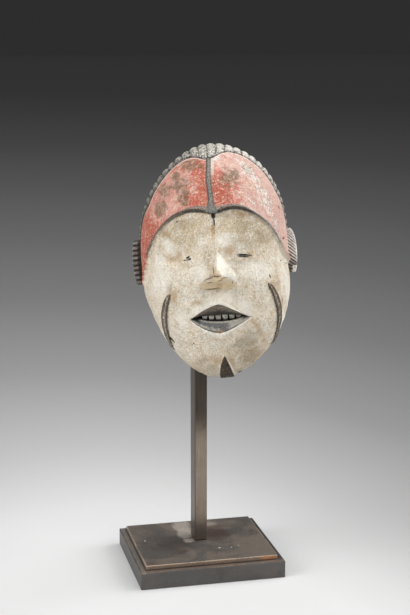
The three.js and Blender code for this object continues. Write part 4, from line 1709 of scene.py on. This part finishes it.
@dataclass
class Ear(CarvedPart):
    """A notched crescent that stands out from the side of the mask.

    Places on it are a, b and c, from -1 to 1: from the shell outwards, from front to back, and upwards.
    """

    side: Side
    z: float = 21.5
    tall: float = 46.0
    front: float = -44.0
    front_bow: float = 5.0
    deep: float = 15.0
    out: float = 9.2
    bow: float = 0.82
    tips: float = 4.0
    point: float = 0.0
    notches: int = 9
    notch: float = 1.1
    notch_deep: float = 1.3
    slant: float = 0.0
    tall_cuts: int = 95
    cuts: int = 17

    def block(self) -> bmesh.types.BMesh:
        """Makes a block that is finely divided, more so along its height.

        Returns:
            The block, 2 units wide each way.
        """
        bm = bmesh.new()
        bmesh.ops.create_cube(bm, size=2)
        upright = [e for e in bm.edges if abs(e.verts[0].co.z - e.verts[1].co.z) > 1]
        bmesh.ops.subdivide_edges(bm, edges=upright, cuts=self.tall_cuts, use_grid_fill=True)
        level = [e for e in bm.edges if abs(e.verts[0].co.z - e.verts[1].co.z) < 0.001]
        bmesh.ops.subdivide_edges(bm, edges=level, cuts=self.cuts, use_grid_fill=True)
        return bm

    def dents(self, a: Array, b: Array, c: Array) -> Array:
        """Cuts the notches, which the right ear loses on the lower half of its outer edge.

        Args:
            a: places outwards.
            b: places from front to back.
            c: places upwards.

        Returns:
            0 between the notches and 1 in their depth.
        """
        slant = self.slant * (1 + 0.4 * c) / 2
        wave = np.abs(np.sin(math.pi * (self.notches * (c + 1) / 2 + slant * (b + a))))
        dent = 1 - smooth(0.25, 0.9, wave)
        return dent * (1 - smooth(0.86, 0.97, a) * smooth(0.5, 0.0, c)) if self.side is Side.RIGHT else dent

    def rubbed(self, a: Array, c: Array, crest: Array, dent: Array) -> dict[str, Array]:
        """Works out the paint's wear and light: the left ear's outer part is rubbed, the right ear is pale, partly
        painted light, with a chip below.

        Args:
            a: places outwards.
            c: places upwards.
            crest: how proud each place stands.
            dent: how deep in a notch it is.

        Returns:
            The two numbers that the paint reads, by name.
        """
        if self.side is Side.LEFT:
            return {"crest": crest * (0.1 + 0.75 * smooth(0.12, 0.34, a)), "light_side": np.zeros_like(c)}
        chip = smooth(-0.66, -0.74, c) * smooth(0.35, 0.5, a)
        # The right ear's paler upper part: painted light.
        light = smooth(-0.8, 0.0, c) * (0.8 + 0.4 * smooth(0.5, 0.8, a)) * (1 - dent)
        crest = np.maximum(crest * (0.35 + 0.65 * smooth(-0.9, -0.3, c)), chip)
        return {"crest": crest, "light_side": np.maximum(light, 1.2 * chip)}

    def build(self, material: Material) -> Piece:
        """Shapes one ear.

        Args:
            material: the ear's paint.

        Returns:
            The finished piece.
        """
        bm = self.block()
        a, b, c = from_unit(bm).T
        ease = np.maximum(np.abs(a), np.abs(b)) / np.maximum((a**6 + b**6) ** (1 / 6), 1e-6)
        a, b = a * ease, b * ease
        curve = np.sqrt(1 - self.bow * c * c)
        dent = self.dents(a, b, c)
        face = np.clip(np.maximum(a, -b), 0, 1)
        tips = self.tips * np.where(c > 0, 1 - self.point * c * c, 1)
        out = self.form.half_width + tips + (self.out - tips) * curve - dent * self.notch * face
        front = self.front + self.front_bow * c * c + dent * self.notch_deep * face
        back = self.front + self.deep * (0.45 + 0.55 * curve)
        z = self.z + c * self.tall / 2
        angle = np.arctan2(z, self.form.half_width)
        root = self.form.outline(angle) * np.cos(angle) - 0.6 * self.form.wall
        x = self.side.value * (root + (out - root) * (a + 1) / 2)
        points = np.stack([x, front + (back - front) * (b + 1) / 2, z], -1)
        crest = np.clip((1 - dent) * (0.55 + 0.45 * face), 0, 1)
        name = f"mask_ear_{self.side.name.lower()}"
        return self.dress(self.shape(name, bm, points, self.rubbed(a, c, crest, dent)), material)


@dataclass
class Mask:
    """The whole carving: shell, braids, teeth and ears."""

    form: MaskForm = field(default_factory=MaskForm)
    hair: HairPaint = HairPaint()
    # The left ear's paint is a shaded copy and the right ear's a lit copy of one paint: painted shade and light.
    dark_ear: HairPaint = HairPaint(
        "dark_ear_paint", groove=paint("302c28"), black=paint("68635c"), rubbed=paint("98938a"), chalky=paint("a8a49b")
    )
    pale_ear: HairPaint = HairPaint(
        "pale_ear_paint", groove=paint("3a342e"), black=paint("938b81"), rubbed=paint("dfd9d0"), chalky=paint("f4efe8")
    )

    def build(self) -> None:
        """Builds every piece of the mask."""
        carving = Carving(self.form)
        left = Ear(carving, Side.LEFT)
        right = Ear(carving, Side.RIGHT, out=8.7, point=0.9, notches=14, notch=2.0, slant=3.6, cuts=38)
        MaskShell(carving).build(PaintedWood().make())
        BraidedHair(carving).build(self.hair.make())
        Teeth(carving).build(ToothPaint().make())
        left.build(self.dark_ear.make())
        right.build(self.pale_ear.make())


@dataclass
class Stand:
    """The base, the post and the two arms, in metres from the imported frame."""

    edge: float = 0.0009
    bevel_steps: int = 3
    rubbed_within: float = 0.0022
    slice_every: float = 0.006
    sliced_from: float = 0.02
    plate_top: float = 0.024
    solder: Colour = paint("b5aca2")
    maroon: Colour = paint("50372f")
    fleck: Colour = paint("ddd8d0")

    def bar(self, node: str, rubbed: float = 1.0) -> Piece:
        """Shapes a block to a node's box, with rounded edges and a fine enough grid for the rubbed edges.

        Args:
            node: the node that it stands for.
            rubbed: how strongly its edges are rubbed.

        Returns:
            The block, still without a finish.
        """
        low, high = (np.array(corner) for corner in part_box(node))
        bm = bmesh.new()
        bmesh.ops.create_cube(bm, size=1)
        bmesh.ops.scale(bm, vec=high - low, verts=bm.verts)
        bmesh.ops.translate(bm, vec=(low + high) / 2, verts=bm.verts)
        bmesh.ops.bevel(
            bm, geom=bm.edges[:], offset=self.edge, segments=self.bevel_steps, profile=0.5, affect="EDGES", material=-1
        )
        for axis in range(3):
            plane = Vector([float(axis == k) for k in range(3)])
            for step in self.slices(low[axis], high[axis]):
                geometry = bm.verts[:] + bm.edges[:] + bm.faces[:]
                bmesh.ops.bisect_plane(bm, geom=geometry, plane_co=plane * step, plane_no=plane)
        points = from_unit(bm)
        gaps = np.sort(np.minimum(points - low, high - points), axis=1)
        attributes = {"edge": np.clip(1 - gaps[:, 1] / self.rubbed_within, 0, 1) * rubbed}
        piece = solid(node + "_finish", bm, points, attributes)
        weighted = piece.modifiers.new("flat_faces", "WEIGHTED_NORMAL")
        weighted.keep_sharp = True
        return piece

    def slices(self, low: float, high: float) -> list[float]:
        """Chooses where one side of a block is sliced: close to its edges, then evenly.

        Args:
            low: where the side starts.
            high: where it ends.

        Returns:
            The places of the slices.
        """
        near = [self.edge * 2.5, self.rubbed_within * 1.5]
        count = max(2, int((high - low) / self.slice_every))
        broad = high - low > self.sliced_from
        even = np.linspace(low + self.slice_every, high - self.slice_every, count) if broad else []
        return [low + n for n in near] + list(even) + [high - n for n in near]

    def on_plate(self, x: float, y: float, wide: float, deep: float, colour: Colour, *look: float) -> Stain:
        """A stain on the plate's top: its place, its half sizes, and its colour, amount, raggedness and softness."""
        return Stain((x, y, self.plate_top), (wide, deep, FAR), colour, *look)

    def block_patina(self) -> Patina:
        """Describes the bottom block's dark metal, with its upper edge rubbed.

        Returns:
            The finish, not yet made.
        """
        return Patina(
            "block_patina",
            ground=paint("474543"), cloudy=paint("4f4b48"), rubbed=paint("a48e7b"), dark=paint("3a322c"), rub=0.1,
            stains=(
                Stain((-0.0765, 0, 0.019), (0.003, FAR, 0.0015), paint("9a9086"), 0.6),
                Stain((0, -0.0665, 0.019), (FAR, 0.003, 0.0015), paint("8a7260"), 0.5),
            ),
        )

    def plate_patina(self) -> Patina:
        """Describes the plate's metal with its splash of solder, its stains and its light flecks.

        Returns:
            The finish, not yet made.
        """
        return Patina(
            "plate_patina",
            ground=paint("53504d"), cloudy=paint("6b625a"), rubbed=paint("b8a28e"), dark=paint("46332a"), rub=0.32,
            stains=(
                self.on_plate(0.023, 0.02, 0.02, 0.036, self.maroon, 0.6, 1.8, 0.6),
                self.on_plate(-0.03, -0.012, 0.04, 0.022, paint("3c3632"), 0.45, 2.0, 0.7),
                self.on_plate(-0.0125, 0.046, 0.013, 0.022, self.solder, 0.75, 1.6),
                self.on_plate(-0.012, 0.022, 0.011, 0.022, self.solder, 0.75, 1.6),
                self.on_plate(-0.0115, 0.003, 0.0075, 0.009, self.solder, 0.7, 2.2, 0.5),
                self.on_plate(0.02, 0.047, 0.012, 0.009, self.solder, 0.45, 1.6),
                self.on_plate(0.001, 0.009, 0.0105, 0.015, self.maroon, 0.5, 0.3),
                Stain((0, -0.0635, 0.0205), (FAR, 0.002, 0.004), paint("75604f"), 0.7),
                Stain((0.063, -0.0635, 0.0215), (0.013, 0.003, 0.003), paint("a9713f"), 0.7, 0.8),
                self.on_plate(0.0161, -0.028, 0.0015, 0.0018, self.fleck, 0.95, 0.2),
                self.on_plate(0.0293, -0.0296, 0.001, 0.0014, self.fleck, 0.95, 0.2),
                self.on_plate(0.0385, -0.0258, 0.0008, 0.0012, self.fleck, 0.8, 0.2),
                self.on_plate(-0.0607, 0.0104, 0.0012, 0.003, self.fleck, 0.6, 0.2),
            ),
        )

    def post_patina(self) -> Patina:
        """Describes the brown, brushed post, darkest behind the mask with a painted shadow, which the arms share.

        Returns:
            The finish, not yet made.
        """
        return Patina(
            "brown_patina",
            ground=paint("7c6f61"), cloudy=paint("83796b"), rubbed=paint("a5947f"), dark=paint("5a4a3d"),
            brushed=0.03, gloss=0.3, rub=0.5,
            stains=(
                # Painted shadow of the mask over the post's top, with darker patina.
                Stain((0, 0, 0.32), (FAR, FAR, 0.19), paint("241b13"), 0.96, 0.1, 0.24),
                # Painted shade on the post's left face.
                Stain((-0.006, 0.009, 0.2), (0.0011, FAR, FAR), paint("453c35"), 0.9, 0.1),
                # Darker towards the post's foot.
                Stain((0, -0.002, self.plate_top), (FAR, FAR, 0.04), paint("2c241f"), 0.85, 0.3, 0.8),
            ),
        )

    def build(self) -> None:
        """Builds and dresses the stand."""
        block, plate, brown = self.block_patina().make(), self.plate_patina().make(), self.post_patina().make()
        own(self.bar("base_block", 0.66), "base_block", block)
        own(self.bar("base_plate"), "base_plate", plate)
        own(self.bar("post", 0.8), "post", brown)
        for name in ("crown_arm", "chin_arm"):
            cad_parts[name].data.materials.clear()
            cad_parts[name].data.materials.append(brown)
            log.info("%s: kept as packed", name)


@dataclass
class Studio:
    """The pale floor, the soft lights and the camera at the photograph's angle."""

    camera_at: Triple = (-0.3176, -1.3981, 0.5737)
    azimuth: float = -13.034
    pitch: float = 11.168
    lens: float = 78.66
    floor_size: float = 60.0
    pool_middle: Triple = (-0.1, -0.53, 0)
    pool_size: Triple = (1, 2.15, 1)
    pool_near: float = 0.1
    pool_far: float = 300
    backdrop: Colour = paint("2d2d2d")
    lamps: tuple[tuple[str, Triple, float, float], ...] = (
        ("key", (1.0, 0.0, 0.56), 2.5, 55),
        ("front", (0.6, -1.0, 0.3), 1.6, 60),
        ("side", (-1.1, -0.3, 0.4), 1.9, 45),
        ("fill", (-1.0, -0.6, 0.9), 1.1, 60),
        ("top", (0.1, 0.1, 1.7), 1.5, 60),
    )

    def floor(self) -> None:
        """Lays a pale floor whose colour darkens far from the object, a painted pool of light."""
        bm = bmesh.new()
        bmesh.ops.create_grid(bm, x_segments=2, y_segments=2, size=self.floor_size)
        piece = solid("floor", bm, from_unit(bm))
        kit = NodeKit("pale_floor", carved=False)
        # The painted pool of light: the ramp's tones fall off with distance from its middle.
        orders = (kit.oval(self.pool_middle, self.pool_size) / self.pool_near).log(self.pool_far)
        tones = {0.1: "d2d2d2", 0.18: "cfcfcf", 0.215: "c4c4c4", 0.267: "a7a7a7", 0.335: "838383", 0.404: "686868",
                 0.472: "555555", 0.541: "454545", 0.609: "373737", 0.678: "2f2f2f", 0.746: "292929", 0.883: "282828",
                 1.0: "262626"}
        stops = [(place, paint(code)) for place, code in tones.items()]
        ramp = kit.node("ShaderNodeValToRGB", {"stops": stops}, {0: orders})
        piece.data.materials.append(kit.finish(ramp.outputs[0], {"Roughness": 1.0, "Specular IOR Level": 0.0}))

    def light(self, name: str, place: Triple, power: float, spread: float) -> None:
        """Hangs one wide soft light that lies even on the whole floor.

        Args:
            name: what it is called.
            place: where it comes from, in metres.
            power: its strength.
            spread: how wide it is, in degrees.
        """
        lamp = bpy.data.lights.new(name, "SUN")
        lamp.angle = math.radians(spread)
        lamp.energy = power
        made = bpy.data.objects.new(name, lamp)
        made.location = place
        made.rotation_euler = (-Vector(place)).to_track_quat("-Z", "Y").to_euler()
        bpy.context.scene.collection.objects.link(made)

    def surround(self) -> None:
        """Sets the tone all round and how the picture shows its colours."""
        world = bpy.data.worlds.new("studio")
        world.use_nodes = True
        world.node_tree.nodes["Background"].inputs[0].default_value = self.backdrop
        bpy.context.scene.world = world
        bpy.context.scene.view_settings.view_transform = "Standard"

    def camera(self) -> None:
        """Stands the camera where the photograph was taken from."""
        lens = bpy.data.cameras.new("camera")
        lens.lens = self.lens
        made = bpy.data.objects.new("camera", lens)
        made.location = self.camera_at
        made.rotation_euler = (math.radians(90 - self.pitch), 0, math.radians(self.azimuth))
        bpy.context.scene.collection.objects.link(made)
        bpy.context.scene.camera = made

    def build(self) -> None:
        """Sets up the floor, the lights, the surrounding tone and the camera."""
        self.floor()
        for lamp in self.lamps:
            self.light(*lamp)
        self.surround()
        self.camera()


def main() -> None:
    """Builds the mask, its stand and the studio."""
    logging.basicConfig(level=logging.INFO, format="%(name)s: %(message)s")
    Mask().build()
    Stand().build()
    Studio().build()


if __name__ == "__main__":
    main()
